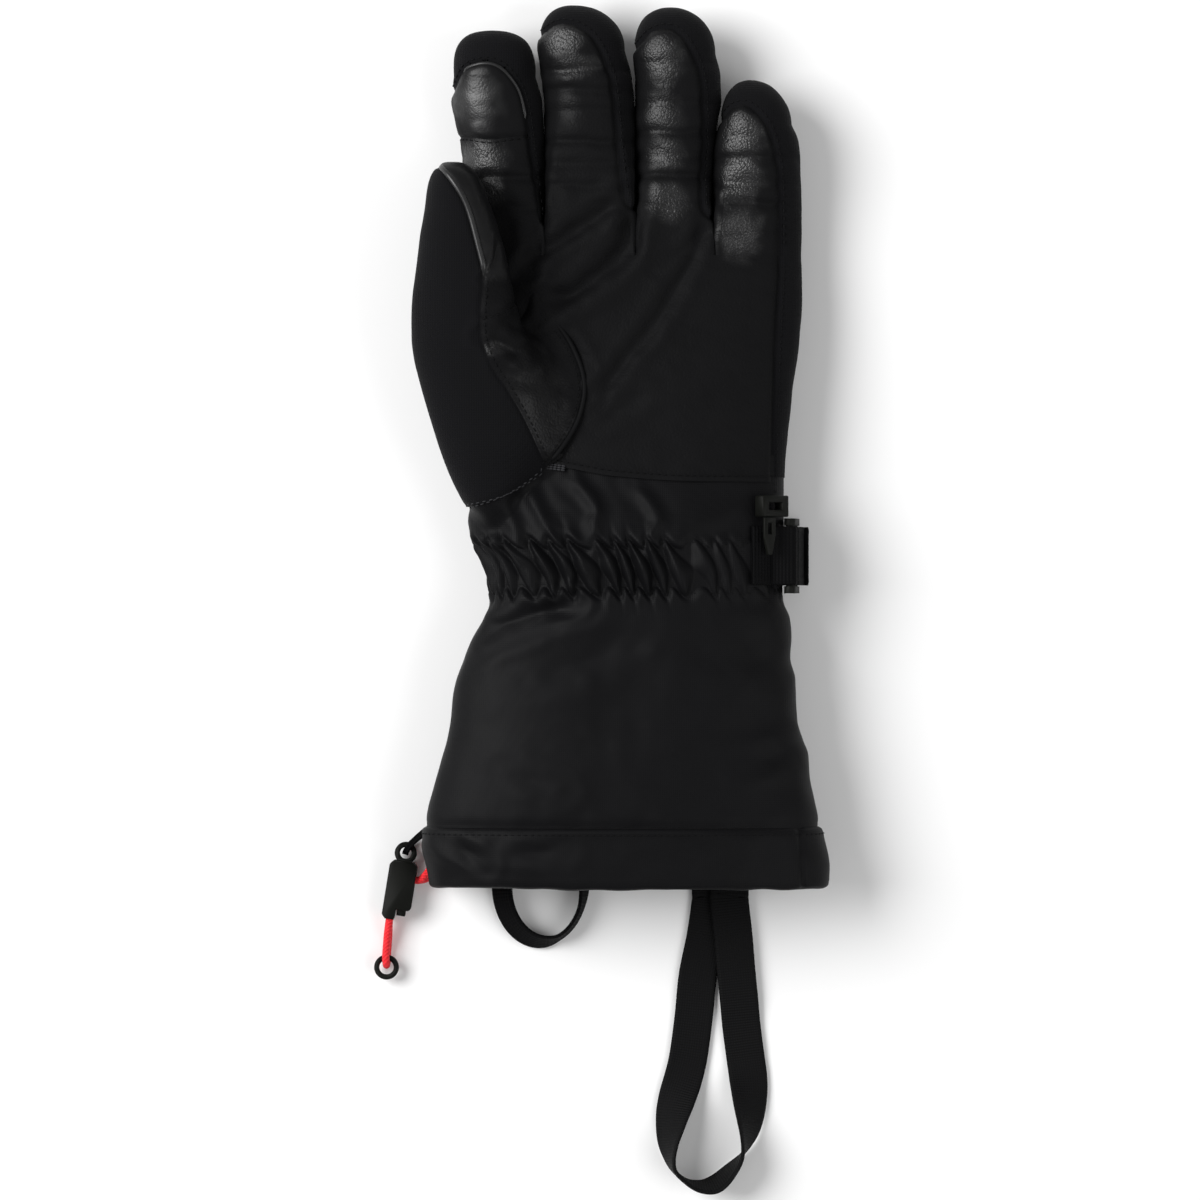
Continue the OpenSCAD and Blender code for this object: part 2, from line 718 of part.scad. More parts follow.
eyelet_mid = section(cuff_station(cord_y), eyelet_angle, 0);
eyelet_ahead = section(cuff_station(cord_y), eyelet_angle + 1, 0);
eyelet_back = section(cuff_station(cord_y), eyelet_angle - 1, 0);
eyelet_run = unit(eyelet_ahead - eyelet_back);
// The eyelet faces down and outwards, square to the hem there
eyelet_tilt = atan2(-eyelet_run[2], eyelet_run[0]);
eyelet_out = [eyelet_run[2], 0, -eyelet_run[0]];
module on_eyelet() { translate([eyelet_mid[0], cord_y, eyelet_mid[2]]) rotate([0, eyelet_tilt + 180, 0]) children(); }

module hem_band() {
  profile = [
    [cuff_station(hem_top), 0],
    [cuff_station(hem_y), 0],
    [cuff_station(hem_y), hem_wall + shell_t],
    [cuff_station(hem_top), hem_wall + shell_t],
    [cuff_station(hem_top), hem_wall],
    [cuff_station(hem_y + shell_t), hem_wall],
    [cuff_station(hem_y + shell_t), shell_t],
    [cuff_station(hem_top), shell_t]
  ];
  color(nylon) difference() {
    band(profile, 48);
    on_eyelet() translate([0, 0, -shell_t - 0.8]) cylinder(h = shell_t + 1.6, r = eyelet_r);
  }
}

module hem_cord() {
  inset = shell_t + hem_channel / 2;
  color(red) tube([for (a = steps(eyelet_angle + 8, eyelet_angle + 352, 40)) section(cuff_station(cord_y), a, inset)], cord_d);
}

module hem_eyelet() {
  color(steel) on_eyelet() translate([0, 0, 0.75]) rotate_extrude()
    translate([eyelet_r, 0]) square([eyelet_flange, eyelet_t]);
}

// Cord lock: its own frame runs from the tether eye down to the mouth
lock_eye = [-80.9, -95.6];
lock_turn = -99.2;
lock_z = 0.3;
module on_lock() { translate([lock_eye[0], lock_eye[1], lock_z]) rotate([0, 0, lock_turn]) children(); }
lock_right = lock_len - 4;
cavity_start = 7;
strand_y = -2.1;
strand_start = 8;
strand_high = lock_h / 2 + 0.1 + cord_d / 2;
strand_low = lock_h / 2 - 0.1 - cord_d / 2;
cavity_low = lock_h / 2 - cord_d - 0.4;
cavity_w = lock_w - 3.1;
slot_start = 7.9;

module lock_body() {
  color(plastic) on_lock() difference() {
    union() {
      translate([0, 0, lock_h / 2 - eye_h / 2]) cylinder(h = eye_h, r = eye_r + eye_wall);
      linear_extrude(lock_h) polygon([
        [eye_r + 1, -lock_w / 2 + 1.4], [eye_r + 2.6, -lock_w / 2], [lock_len - 1.5, -lock_w / 2], [lock_len, -lock_w / 2 + 1.4],
        [lock_len, -0.4], [lock_right, -0.4], [lock_right, lock_w / 2 - 0.8], [lock_right - 0.8, lock_w / 2],
        [eye_r + 2.6, lock_w / 2], [eye_r + 1, lock_w / 2 - 1.4]
      ]);
    }
    translate([0, 0, -1]) cylinder(h = lock_h + 2, r = eye_r);
    translate([cavity_start, -cavity_w / 2, cavity_low]) cube([lock_len, cavity_w, lock_h - 2 * cavity_low]);
    translate([slot_start, 0, cavity_low]) cube([cord_d + 0.6, lock_w, lock_h - 2 * cavity_low]);
  }
}

slider_end = lock_right + 2.2;
slider_back = slider_end - slider_len;
slider_side = -0.35;
module lock_slider() {
  w = cavity_w / 2 - slider_gap - slider_side;
  h = lock_h - 2 * cavity_low - 2 * slider_gap;
  teeth = 5;
  pitch = (slider_len - 4) / teeth;
  color(plastic) on_lock() translate([slider_back, slider_side, cavity_low + slider_gap]) linear_extrude(h) polygon(concat(
    [[0, w], [0, 0.6]],
    [for (i = [0 : teeth - 1]) each [[i * pitch, 0.6], [(i + 0.6) * pitch, 0]]],
    [[slider_len - 4, 0.6], [slider_len, 0.6], [slider_len, w]]
  ));
}

module lock_spring() {
  r = (cavity_w / 2 - slider_side) / 2 - 0.75;
  mid = [0, slider_side + (cavity_w / 2 - slider_side) / 2, lock_h / 2];
  start = slot_start + cord_d + 0.6 - 3.4;
  stop = slider_back - 0.1;
  color(steel) on_lock() tube([
    for (i = [0 : 8 * spring_turns])
      mid + [mix(start + spring_wire, stop - spring_wire, i / (8 * spring_turns)), r * cos(45 * i), r * sin(45 * i)]
  ], spring_wire, 6);
}

// Free drawcord: hand-chosen points in the row's own frame
feed_a = [[-66.4, -98.3, 13.6], [-69.6, -98.8, 9.8], [-73, -103.4, 7.6], [-75.6, -105.8, 6.5], [-78.3, -105.7, 6.4]];
feed_b = [[-66.4, -101.3, 13.6], [-69.6, -101.8, 9.4], [-72.6, -105, 4.6], [-75.6, -106, 3.4], [-78.3, -105.7, 3.4]];
module drawcord_feed() {
  color(red) {
    tube(curve(feed_a, 3), cord_d);
    tube(curve(feed_b, 3), cord_d);
  }
}

// Strand ends in the lock's own frame, turned into the row's frame
function lock_point(x, y, z) = [
  lock_eye[0] + x * cos(lock_turn) - y * sin(lock_turn),
  lock_eye[1] + x * sin(lock_turn) + y * cos(lock_turn),
  lock_z + z
];
ring_at = [-88.2, -138.8];
ring_z = 3.3;
pull_high = [
  lock_point(strand_start, strand_y, strand_high), lock_point(18, strand_y, strand_high), lock_point(26, strand_y, strand_high),
  [-87.8, -126.5, 7], [-88.2, -131.5, 7.7], [-88.4, -135.2, 7.7]
];
pull_turn = [[-88.3, -138.2, 6.2], [-88.2, -138.7, 4.6], [-88.1, -138.2, 3]];
pull_low = [
  [-88, -135.2, 1.6], [-87.8, -131.5, 1.7], [-87.4, -126.5, 2.2],
  lock_point(26, strand_y, strand_low), lock_point(18, strand_y, strand_low), lock_point(strand_start, strand_y, strand_low)
];
module drawcord_pull() { color(red) tube(curve(concat(pull_high, pull_turn, pull_low), 3), cord_d); }

module cord_ring() {
  color(plastic) translate([ring_at[0], ring_at[1], ring_z]) rotate_extrude()
    translate([ring_hole_r, 0]) square([ring_r - ring_hole_r, ring_h]);
}

tether_points = [
  [-73.4, -87, 16], [-76.6, -89.8, 11.6], [-79.2, -92.6, 8.6], [-80.6, -94.6, 7.4], [-81.1, -95.9, 5],
  [-80.7, -94.8, 2.2], [-79.2, -92.4, 1.4], [-76.2, -89.8, 4], [-72.2, -87, 9.5]
];
module tether_tape() {
  color(webbing) ribbon([for (p = curve(tether_points, 3)) [p, 0]], tether_w, tether_t);
}

// Loops at the hem
hem_seat = hem_y - 0.3;
module hang_loop() {
  color(webbing) ribbon([
    for (i = [0 : 16])
      let (a = 180 * i / 16, tilt = mix(48, 66, i / 16))
      [[loop_x - loop_span / 2 * cos(a), hem_seat - loop_depth * sin(a), loop_w / 2 + 0.4], tilt]
  ], loop_w, loop_t);
}

// Leash: each row is [x, y, tilt, layer], where a layer lifts the upper strand over the lower one
leash_rows = [
  [34.5, -108.3, 0, 0], [34.5, -111, 0, 0], [34.5, -114, 0, 0], [32.5, -127.5, 0, 0], [29.5, -142.5, 0, 0], [28, -157.5, 0, 0], [26, -172.5, 0, 0],
  [24, -181, 5, 0], [21.5, -189, 20, 0], [19.5, -197, 40, 0], [18.5, -206, 60, 0], [19.5, -214, 72, 0],
  [24, -219, 78, 0], [31, -221.7, 78, 0], [38, -220, 76, 0], [43.5, -216, 76, 0], [46.5, -209, 72, 0],
  [48.5, -202, 55, 0], [49, -195, 40, 0], [49, -187, 22, 0], [48.5, -180, 8, 0], [47.5, -172.5, 0, 0],
  [46, -161, 0, 0.2], [45, -150, 0, 0.8], [44, -140, 0, 1], [43, -127.5, 0, 1], [41.5, -114, 0, 1], [41.5, -111, 0, 1], [41.5, -108.3, 0, 1]
];
module leash() {
  color(webbing) ribbon([
    for (q = curve(leash_rows, 2))
      [[q[0], q[1], 0.2 + leash_t / 2 + max(0, q[3]) * (leash_t + 0.4) + leash_w / 2 * sin(abs(q[2]))], q[2]]
  ], leash_w, leash_t);
}

palm_leather();
back_softshell();
hand_liner();
finger_base_leather(0);  // index_base_leather
finger_base_softshell(0);  // index_base_softshell
finger_base_liner(0);  // index_base_liner
finger_tip_leather(0);  // index_tip_leather
finger_tip_softshell(0);  // index_tip_softshell
finger_tip_liner(0);  // index_tip_liner
index_tip_patch();
finger_base_leather(1);  // middle_base_leather
finger_base_softshell(1);  // middle_base_softshell
finger_base_liner(1);  // middle_base_liner
finger_tip_leather(1);  // middle_tip_leather
finger_tip_softshell(1);  // middle_tip_softshell
finger_tip_liner(1);  // middle_tip_liner
finger_base_leather(2);  // ring_base_leather
finger_base_softshell(2);  // ring_base_softshell
finger_base_liner(2);  // ring_base_liner
finger_tip_leather(2);  // ring_tip_leather
finger_tip_softshell(2);  // ring_tip_softshell
finger_tip_liner(2);  // ring_tip_liner
finger_base_leather(3);  // little_base_leather
finger_base_softshell(3);  // little_base_softshell
finger_base_liner(3);  // little_base_liner
finger_tip_leather(3);  // little_tip_leather
finger_tip_softshell(3);  // little_tip_softshell
finger_tip_liner(3);  // little_tip_liner
thumb_leather();
thumb_softshell();
thumb_liner();
wrist_panel();
wrist_liner();
wrist_gather();
gather_liner();
wrist_elastic();
wrist_strap();
strap_anchor();
strap_tail();
buckle_frame();
pair_clip();
clip_gate();
gauntlet_shell();
cuff_liner();
hem_band();
hem_cord();
hem_eyelet();
drawcord_feed();
drawcord_pull();
lock_body();
lock_slider();
lock_spring();
cord_ring();
tether_tape();
hang_loop();
leash();
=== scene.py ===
"""Looks of a padded ski glove with a long cuff, lying palm up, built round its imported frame."""

import logging
import math
from dataclasses import dataclass, field
from enum import Enum
from typing import Dict, Iterator, List, Optional, Sequence, Tuple, Union

import bmesh
import bpy
import numpy as np
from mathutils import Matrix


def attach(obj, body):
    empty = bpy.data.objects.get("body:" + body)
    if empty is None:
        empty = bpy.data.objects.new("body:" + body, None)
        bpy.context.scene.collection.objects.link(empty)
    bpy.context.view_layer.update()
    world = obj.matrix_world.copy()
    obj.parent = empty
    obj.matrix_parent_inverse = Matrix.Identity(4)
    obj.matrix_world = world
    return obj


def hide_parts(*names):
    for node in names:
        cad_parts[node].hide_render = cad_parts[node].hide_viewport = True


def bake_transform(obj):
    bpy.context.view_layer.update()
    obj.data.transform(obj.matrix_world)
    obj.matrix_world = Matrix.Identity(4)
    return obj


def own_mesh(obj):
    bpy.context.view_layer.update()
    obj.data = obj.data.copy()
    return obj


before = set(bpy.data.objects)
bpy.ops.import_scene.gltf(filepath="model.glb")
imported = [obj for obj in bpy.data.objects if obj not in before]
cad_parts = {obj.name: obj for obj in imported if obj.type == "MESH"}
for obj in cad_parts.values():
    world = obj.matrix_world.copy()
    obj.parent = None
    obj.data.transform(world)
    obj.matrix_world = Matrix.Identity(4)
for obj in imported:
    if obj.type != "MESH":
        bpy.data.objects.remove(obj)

import openvdb
from mathutils import Vector

Array = np.ndarray
Pair = Tuple[float, float]
Point = Tuple[float, ...]
Line = Sequence[Point]
Material = bpy.types.Material
Mesh = bpy.types.Mesh
Node = bpy.types.Node
Object = bpy.types.Object
Scene = bpy.types.Scene
Socket = bpy.types.NodeSocket
Tree = bpy.types.NodeTree
log = logging.getLogger("glove")

MM = 0.001

# Shared with the solids: where the fingers leave the hand, and how far the underside is flattened
KNUCKLE_Y = 129.0
FLAT = 0.93

# Thickness of each sewn layer in mm
PANEL_WALL = 1.3
FINGER_WALL = 1.2
KNIT_WALL = 1.2
NYLON_WALL = 1.0
FLEECE_WALL = 1.6
WEBBING_WALL = 1.4

# The seam of leather and knit runs this far below a finger's middle, and is rounded this much, in mm
SEAM_DROP = 2.5
SEAM_ROUND = 3.0

# Steps between two given points of a line
LINE_STEPS = 6

# The thumb's smooth strip lies left of this x, past this y and above this height, in mm
STRIP_X = -42.0
STRIP_Y = 117.0
STRIP_Z = 42.0


class Stuff(Enum):
    """The materials of the glove, by the record's slot names."""

    LEATHER = "leather"
    SOFTSHELL = "softshell"
    FLEECE = "fleece_liner"
    NYLON = "nylon"
    ELASTIC = "elastic_webbing"
    WEBBING = "webbing"
    CORD = "red_elastic_cord"
    PLASTIC = "plastic"
    STEEL = "steel"


class Thread(Enum):
    """The sewing threads, by their materials' names."""

    BLACK = "polyester_thread_twisted"
    # Lighter than the black thread, partly as a painted glint
    GREY_PAINTED_GLINT = "polyester_thread_grey_painted_glint"


def smooth(u: Array) -> Array:
    """Smooth step from 0 to 1."""
    c = np.clip(u, 0.0, 1.0)
    return c * c * (3 - 2 * c)


def mix(a: Array, b: Array, u: Array) -> Array:
    """Straight mix of two values."""
    return a + (b - a) * u


def smin(a: Array, b: Array, k: Array) -> Array:
    """Least of two values, rounded over a width k."""
    h = np.clip(0.5 + 0.5 * (b - a) / k, 0.0, 1.0)
    return mix(b, a, h) - k * h * (1 - h)


def hump(x: Array, width: float) -> Array:
    """Bell of height 1 with the given half width."""
    return np.exp(-((x / width) ** 2))


def corners(f: Array) -> Iterator[Tuple[Array, Array]]:
    """Each corner of a unit cell, with its weight at places inside the cell.

    Args:
        f: the places, from 0 to 1 along each side.

    Yields:
        The corner as three bits, and its weight at each place.
    """
    for corner in range(8):
        bit = np.array([corner & 1, corner >> 1 & 1, corner >> 2 & 1])
        yield bit, np.prod(np.where(bit == 1, f, 1 - f), axis=1)


def noise(p: Array, size: Sequence[float], seed: int) -> Array:
    """Smooth lumps from about -1 to 1.

    Args:
        p: points in mm.
        size: the lumps' size along each axis, in mm.
        seed: fixed number that picks the pattern.

    Returns:
        One value for each point.
    """
    q = p / np.asarray(size, float)
    cell = np.floor(q).astype(np.int64)
    f = q - cell
    f = f * f * (3 - 2 * f)
    total = np.zeros(len(p))
    for bit, share in corners(f):
        c = cell + bit
        h = c[:, 0] * 374761393 + c[:, 1] * 668265263 + c[:, 2] * 1274126177 + seed * 974711
        h = (h ^ (h >> 13)) * 1103515245
        h = (h ^ (h >> 16)) & 0xFFFF
        total += (h / 32767.5 - 1) * share
    return total


def curve(points: Line, per: int = 8) -> Array:
    """Smooth curve through points, with some steps between each two.

    Args:
        points: the points that it goes through.
        per: steps between each two.

    Returns:
        The curve's points.
    """
    p = np.asarray(points, float)
    out = []
    for i in range(len(p) - 1):
        a, b, c, d = p[max(i - 1, 0)], p[i], p[i + 1], p[min(i + 2, len(p) - 1)]
        for u in np.arange(per) / per:
            out.append(0.5 * (2 * b + (c - a) * u + (2 * a - 5 * b + 4 * c - d) * u**2
                              + (3 * b - a - 3 * c + d) * u**3))
    return np.array(out + [p[-1]])


def unit(v: Array) -> Array:
    """Vectors of length 1."""
    return v / np.maximum(np.linalg.norm(v, axis=-1, keepdims=True), 1e-9)


def lengths(points: Array) -> Array:
    """How far along a run each of its points is."""
    return np.concatenate([[0], np.cumsum(np.linalg.norm(np.diff(points, axis=0), axis=1))])


def to_line(xy: Array, line: Array) -> Tuple[Array, Array]:
    """Where points lie from a polyline in plan.

    Args:
        xy: points.
        line: the polyline's points.

    Returns:
        Each point's distance from the line, and 1 where it is on the line's left, or -1.
    """
    best = np.full(len(xy), 1e9)
    side = np.zeros(len(xy))
    for s, e in zip(line[:-1], line[1:]):
        run = e - s
        t = np.clip(((xy - s) @ run) / (run @ run), 0, 1)
        gap = np.hypot(*(xy - s - t[:, None] * run).T)
        nearer = gap < best
        turn = run[0] * (xy[:, 1] - s[1]) - run[1] * (xy[:, 0] - s[0])
        best = np.where(nearer, gap, best)
        side = np.where(nearer, np.sign(turn), side)
    return best, side


def reach(c: Array, s: Array, hw: Array, hh: Array, n: float) -> Array:
    """How far a rounded oblong reaches in a direction."""
    return ((np.abs(c) / hw) ** n + (np.abs(s) / hh) ** n) ** (-1 / n)


class Profile:
    """A value along the glove that runs smoothly through given points."""

    steps: int = 600

    def __init__(self, *points: Pair) -> None:
        """Keeps a fine table of the curve through the points, without overshoot.

        Args:
            points: each place and the value there.
        """
        x, v = np.array(points, float).T
        rise = np.diff(v) / np.diff(x)
        slope = np.zeros(len(x))
        same = rise[:-1] * rise[1:] > 0
        both = rise[:-1] + rise[1:]
        slope[1:-1] = np.where(same, 2 * rise[:-1] * rise[1:] / np.where(same, both, 1), 0)
        slope[0], slope[-1] = rise[0], rise[-1]
        self.x = np.linspace(x[0], x[-1], self.steps)
        i = np.clip(np.searchsorted(x, self.x, "right") - 1, 0, len(x) - 2)
        h = x[i + 1] - x[i]
        t = (self.x - x[i]) / h
        self.v = ((2 * t**3 - 3 * t**2 + 1) * v[i] + (t**3 - 2 * t**2 + t) * h * slope[i]
                  + (3 * t**2 - 2 * t**3) * v[i + 1] + (t**3 - t**2) * h * slope[i + 1])

    def __call__(self, y: Array) -> Array:
        """The value at y."""
        return np.interp(y, self.x, self.v)


@dataclass
class Skin:
    """A surface of triangles in mm, with a normal at each point."""

    co: Array
    tri: Array
    nor: Array = field(default_factory=lambda: np.zeros((0, 3)))
    uv: Optional[Array] = None
    # Polish of the whole piece, if set: partly wear, partly painted sheen
    polish_and_sheen: Optional[float] = None
    grain: float = 1.0

    @classmethod
    def grid(cls, points: Array, wrap: bool = True, both: bool = False,
             cap: Optional[Array] = None) -> "Skin":
        """Surface over rows of points.

        Args:
            points: rows by columns by 3.
            wrap: whether the last column joins the first.
            both: whether the last row joins the first too.
            cap: a point that closes the last row.

        Returns:
            The surface, with its normals.
        """
        rows, cols = points.shape[:2]
        r = np.arange(rows if both else rows - 1)[:, None]
        c = np.arange(cols if wrap else cols - 1)[None, :]
        a = r * cols + c
        b = (r + 1) % rows * cols + c
        d = r * cols + (c + 1) % cols
        e = (r + 1) % rows * cols + (c + 1) % cols
        tri = np.concatenate([np.stack(t, -1).reshape(-1, 3) for t in ((a, b, e), (a, e, d))])
        co = points.reshape(-1, 3)
        if cap is not None:
            last = (rows - 1) * cols + np.arange(cols)
            fan = np.stack([last, np.full(cols, len(co)), np.roll(last, -1)], -1)
            co, tri = np.vstack([co, cap]), np.vstack([tri, fan])
        return cls(co, tri).renormal()

    def renormal(self) -> "Skin":
        """Works the normals out again from the triangles; slivers at a cut keep theirs.

        Returns:
            This surface.
        """
        p = self.co[self.tri]
        flat = np.cross(p[:, 1] - p[:, 0], p[:, 2] - p[:, 0])
        total = np.zeros_like(self.co)
        for k in range(3):
            for axis in range(3):
                total[:, axis] += np.bincount(self.tri[:, k], flat[:, axis], len(self.co))
        fresh = unit(total)
        if len(self.nor) == len(fresh):
            sure = smooth(np.linalg.norm(total, axis=1, keepdims=True) / 0.3)
            fresh = unit(mix(self.nor, fresh, sure))
        self.nor = fresh
        return self

    def outward(self) -> "Skin":
        """Turns a closed surface round if its faces point inwards.

        Returns:
            This surface.
        """
        p = self.co[self.tri]
        if np.sum(np.cross(p[:, 0], p[:, 1]) * p[:, 2]) < 0:
            self.tri = self.tri[:, ::-1]
            self.nor = np.zeros((0, 3))
            self.renormal()
        return self

    def beside(self, line: Line) -> Array:
        """Each point's distance in plan from a smooth line, positive on the line's left."""
        gap, side = to_line(self.co[:, :2], curve(line, LINE_STEPS))
        return gap * side

    def push(self, amount: Array) -> "Skin":
        """Moves each point along its normal, then works the normals out again."""
        self.co = self.co + self.nor * np.asarray(amount).reshape(-1, 1)
        return self.renormal()

    def split(self, level: Array) -> Tuple["Skin", "Skin", List[Array]]:
        """Cuts the surface where a level is 0.

        Args:
            level: one value for each point.

        Returns:
            The part above 0, the part below, and the cut's runs of points with their normals.
        """
        f = np.where(np.abs(level) < 1e-4, 1e-4, level)
        up = f[self.tri] > 0
        count = up.sum(1)
        mixed = self.tri[(count == 1) | (count == 2)]
        lone = (f[mixed] > 0).sum(1) == 1
        odd = np.argmax((f[mixed] > 0) == lone[:, None], axis=1)
        rows = np.arange(len(mixed))
        a, b, c = (mixed[rows, (odd + k) % 3] for k in range(3))
        pairs = np.sort(np.concatenate([np.stack([a, b], 1), np.stack([a, c], 1)]), axis=1)
        edges, where = np.unique(pairs, axis=0, return_inverse=True)
        where = where.ravel()
        t = (f[edges[:, 0]] / (f[edges[:, 0]] - f[edges[:, 1]]))[:, None]
        co = np.vstack([self.co, mix(self.co[edges[:, 0]], self.co[edges[:, 1]], t)])
        nor = np.vstack([self.nor, unit(mix(self.nor[edges[:, 0]], self.nor[edges[:, 1]], t))])
        ab, ac = where[: len(mixed)] + len(self.co), where[len(mixed):] + len(self.co)
        tips = np.stack([a, ab, ac], 1)
        rest = np.concatenate([np.stack([ab, b, c], 1), np.stack([ab, c, ac], 1)])
        twice = np.concatenate([lone, lone])
        above = np.concatenate([self.tri[count == 3], tips[lone], rest[~twice]])
        below = np.concatenate([self.tri[count == 0], tips[~lone], rest[twice]])
        runs = [np.hstack([co[r], nor[r]]) for r in chains(np.stack([ab, ac], 1))]
        whole = Skin(co, above, nor)
        return whole.trimmed(above), whole.trimmed(below), runs

    def above(self, level: Array) -> "Skin":
        """The part of the surface above 0."""
        return self.split(level)[0]

    def trimmed(self, tri: Array) -> "Skin":
        """The surface with only these triangles and their points."""
        used, new = np.unique(tri, return_inverse=True)
        return Skin(self.co[used], new.reshape(-1, 3), self.nor[used])

    def joined(self, *others: "Skin") -> "Skin":
        """This surface and others as one.

        Args:
            others: the other surfaces.

        Returns:
            The surface of all.
        """
        parts = [self, *others]
        starts = np.cumsum([0] + [len(p.co) for p in parts[:-1]])
        tri = np.vstack([p.tri + s for p, s in zip(parts, starts)])
        uv = np.vstack([p.uv for p in parts]) if all(p.uv is not None for p in parts) else None
        return Skin(np.vstack([p.co for p in parts]), tri, np.vstack([p.nor for p in parts]), uv)

    def walled(self, depth: float) -> "Skin":
        """The surface given a wall inwards, with its rims closed.

        Args:
            depth: the wall's thickness in mm.

        Returns:
            The closed surface.
        """
        n = len(self.co)
        run = np.concatenate([self.tri[:, [0, 1]], self.tri[:, [1, 2]], self.tri[:, [2, 0]]])
        key = np.sort(run, axis=1)
        _, first, times = np.unique(key[:, 0] * n + key[:, 1], return_index=True, return_counts=True)
        rim = run[first[times == 1]]
        a, b = rim[:, 0], rim[:, 1]
        sides = np.concatenate([np.stack([b, a, a + n], 1), np.stack([b, a + n, b + n], 1)])
        co = np.vstack([self.co, self.co - self.nor * depth])
        return Skin(co, np.vstack([self.tri, self.tri[:, ::-1] + n, sides]), np.vstack([self.nor, -self.nor]))


def chains(pairs: Array) -> List[List[int]]:
    """Runs of point numbers from loose pairs, longest first.

    Args:
        pairs: the two point numbers of each edge.

    Returns:
        The runs.
    """
    near: Dict[int, List[int]] = {}
    for a, b in pairs.tolist():
        near.setdefault(a, []).append(b)
        near.setdefault(b, []).append(a)
    done: set = set()
    runs = []
    starts = [k for k in near if len(near[k]) == 1] + list(near)
    for start in starts:
        if start in done:
            continue
        run, here = [start], start
        done.add(start)
        while True:
            ahead = [k for k in near[here] if k not in done]
            if not ahead:
                break
            here = ahead[0]
            done.add(here)
            run.append(here)
        if len(run) > 2:
            runs.append(run + [start] if start in near[here] and len(run) > 8 else run)
    return sorted(runs, key=len, reverse=True)


def swept(route: Array, wide: Array, outline: Array) -> Skin:
    """A small outline carried along a route.

    Args:
        route: points in mm.
        wide: the outline's first axis at each point.
        outline: the outline's points, across and up, in mm.

    Returns:
        The closed surface, with a map in mm along it and round it.
    """
    run = unit(np.gradient(route, axis=0))
    wide = unit(wide - run * np.sum(wide * run, 1, keepdims=True))
    up = np.cross(run, wide)
    rings = route[:, None] + wide[:, None] * outline[None, :, :1] + up[:, None] * outline[None, :, 1:]
    skin = Skin.grid(rings)
    count, cols = rings.shape[:2]
    along, across = lengths(route), lengths(outline)
    uv = np.stack([np.repeat(along, cols), np.tile(across, count)], 1)
    for row, step in ((0, 1), (count - 1, -1)):
        loop = row * cols + np.arange(cols)
        fan = np.stack([np.full(cols, len(skin.co)), loop, np.roll(loop, -1)], 1)[:, ::step]
        skin.co = np.vstack([skin.co, rings[row].mean(0)])
        skin.tri = np.vstack([skin.tri, fan])
        uv = np.vstack([uv, [along[row], across.mean()]])
    skin.renormal().outward()
    skin.uv = uv
    return skin


def round_outline(d: float, sides: int = 14) -> Array:
    """A circle's points."""
    a = np.arange(sides) * 2 * np.pi / sides
    return np.stack([np.cos(a), np.sin(a)], 1) * d / 2


def tape_outline(w: float, t: float, across: int) -> Array:
    """A flat tape's points, with thick selvedges and softly rounded sides.

    Args:
        w: the tape's width in mm.
        t: its thickness.
        across: points along each face.

    Returns:
        The outline's points.
    """
    x = np.linspace(-1, 1, across)
    thick = t / 2 * np.where(np.abs(x) > 0.99, 0.55, np.where(np.abs(x) > 0.8, 1.0, 0.86))
    top = np.stack([x * w / 2, thick], 1)
    return np.vstack([top, (top * [1, -1])[::-1]])


def tube(route: Array, d: float) -> Skin:
    """A round cord along a route.

    Args:
        route: its middle line in mm.
        d: its thickness.

    Returns:
        The cord's surface.
    """
    run = unit(np.gradient(route, axis=0))
    start = np.array([0.0, 0.0, 1.0]) if abs(run[0, 2]) < 0.9 else np.array([1.0, 0.0, 0.0])
    wide = [unit(np.cross(run[0], start))]
    for r in run[1:]:
        wide.append(unit(wide[-1] - r * (wide[-1] @ r)))
    return swept(route, np.array(wide), round_outline(d))


def strip(p: Array) -> Array:
    """1 on the thumb's smooth strip, 0 elsewhere."""
    x, y, z = p.T
    return smooth((z - STRIP_Z) / 4) * smooth((y - STRIP_Y) / 5) * (x < STRIP_X)


def wear_and_painted_sheen(p: Array) -> Array:
    """How far the leather is polished, from 0 to 1, most on the finger pads: partly wear, partly a painted
    sheen set where the lamp's highlights fall.

    Args:
        p: points in mm.

    Returns:
        One value for each point.
    """
    x, y, z = p.T
    out = 0.3 * strip(p)
    ragged = 0.16 * noise(p, (2.5, 2.5, 2.5), 71) + 0.16 * noise(p, (6, 6, 6), 72)
    for at_x, at_y, wide, long, most in POLISH_AND_SHEEN_PADS:
        far = np.hypot((x - at_x) / wide, (y - at_y) / long)
        out = np.maximum(out, most * (1 - smooth((far + ragged - 0.25) / 0.95)))
    return out * smooth((z - 18) / 6)


def placed(name: str, data: bpy.types.ID) -> Object:
    """A new object in the scene, at the origin.

    Args:
        name: the object's name.
        data: its mesh, lamp or camera.

    Returns:
        The object.
    """
    obj = bpy.data.objects.new(name, data)
    bpy.context.scene.collection.objects.link(obj)
    return obj


def baked(obj: Object) -> Mesh:
    """Makes what an object's modifiers give its plain mesh, and takes them off.

    Args:
        obj: the object.

    Returns:
        The new mesh.
    """
    mesh = bpy.data.meshes.new_from_object(obj.evaluated_get(bpy.context.evaluated_depsgraph_get()))
    obj.modifiers.clear()
    obj.data = mesh
    return mesh


@dataclass(frozen=True)
class Bend:
    """Where a piece bends between two bodies, with its start and end in mm."""

    near: str
    far: str
    start: Point
    end: Point


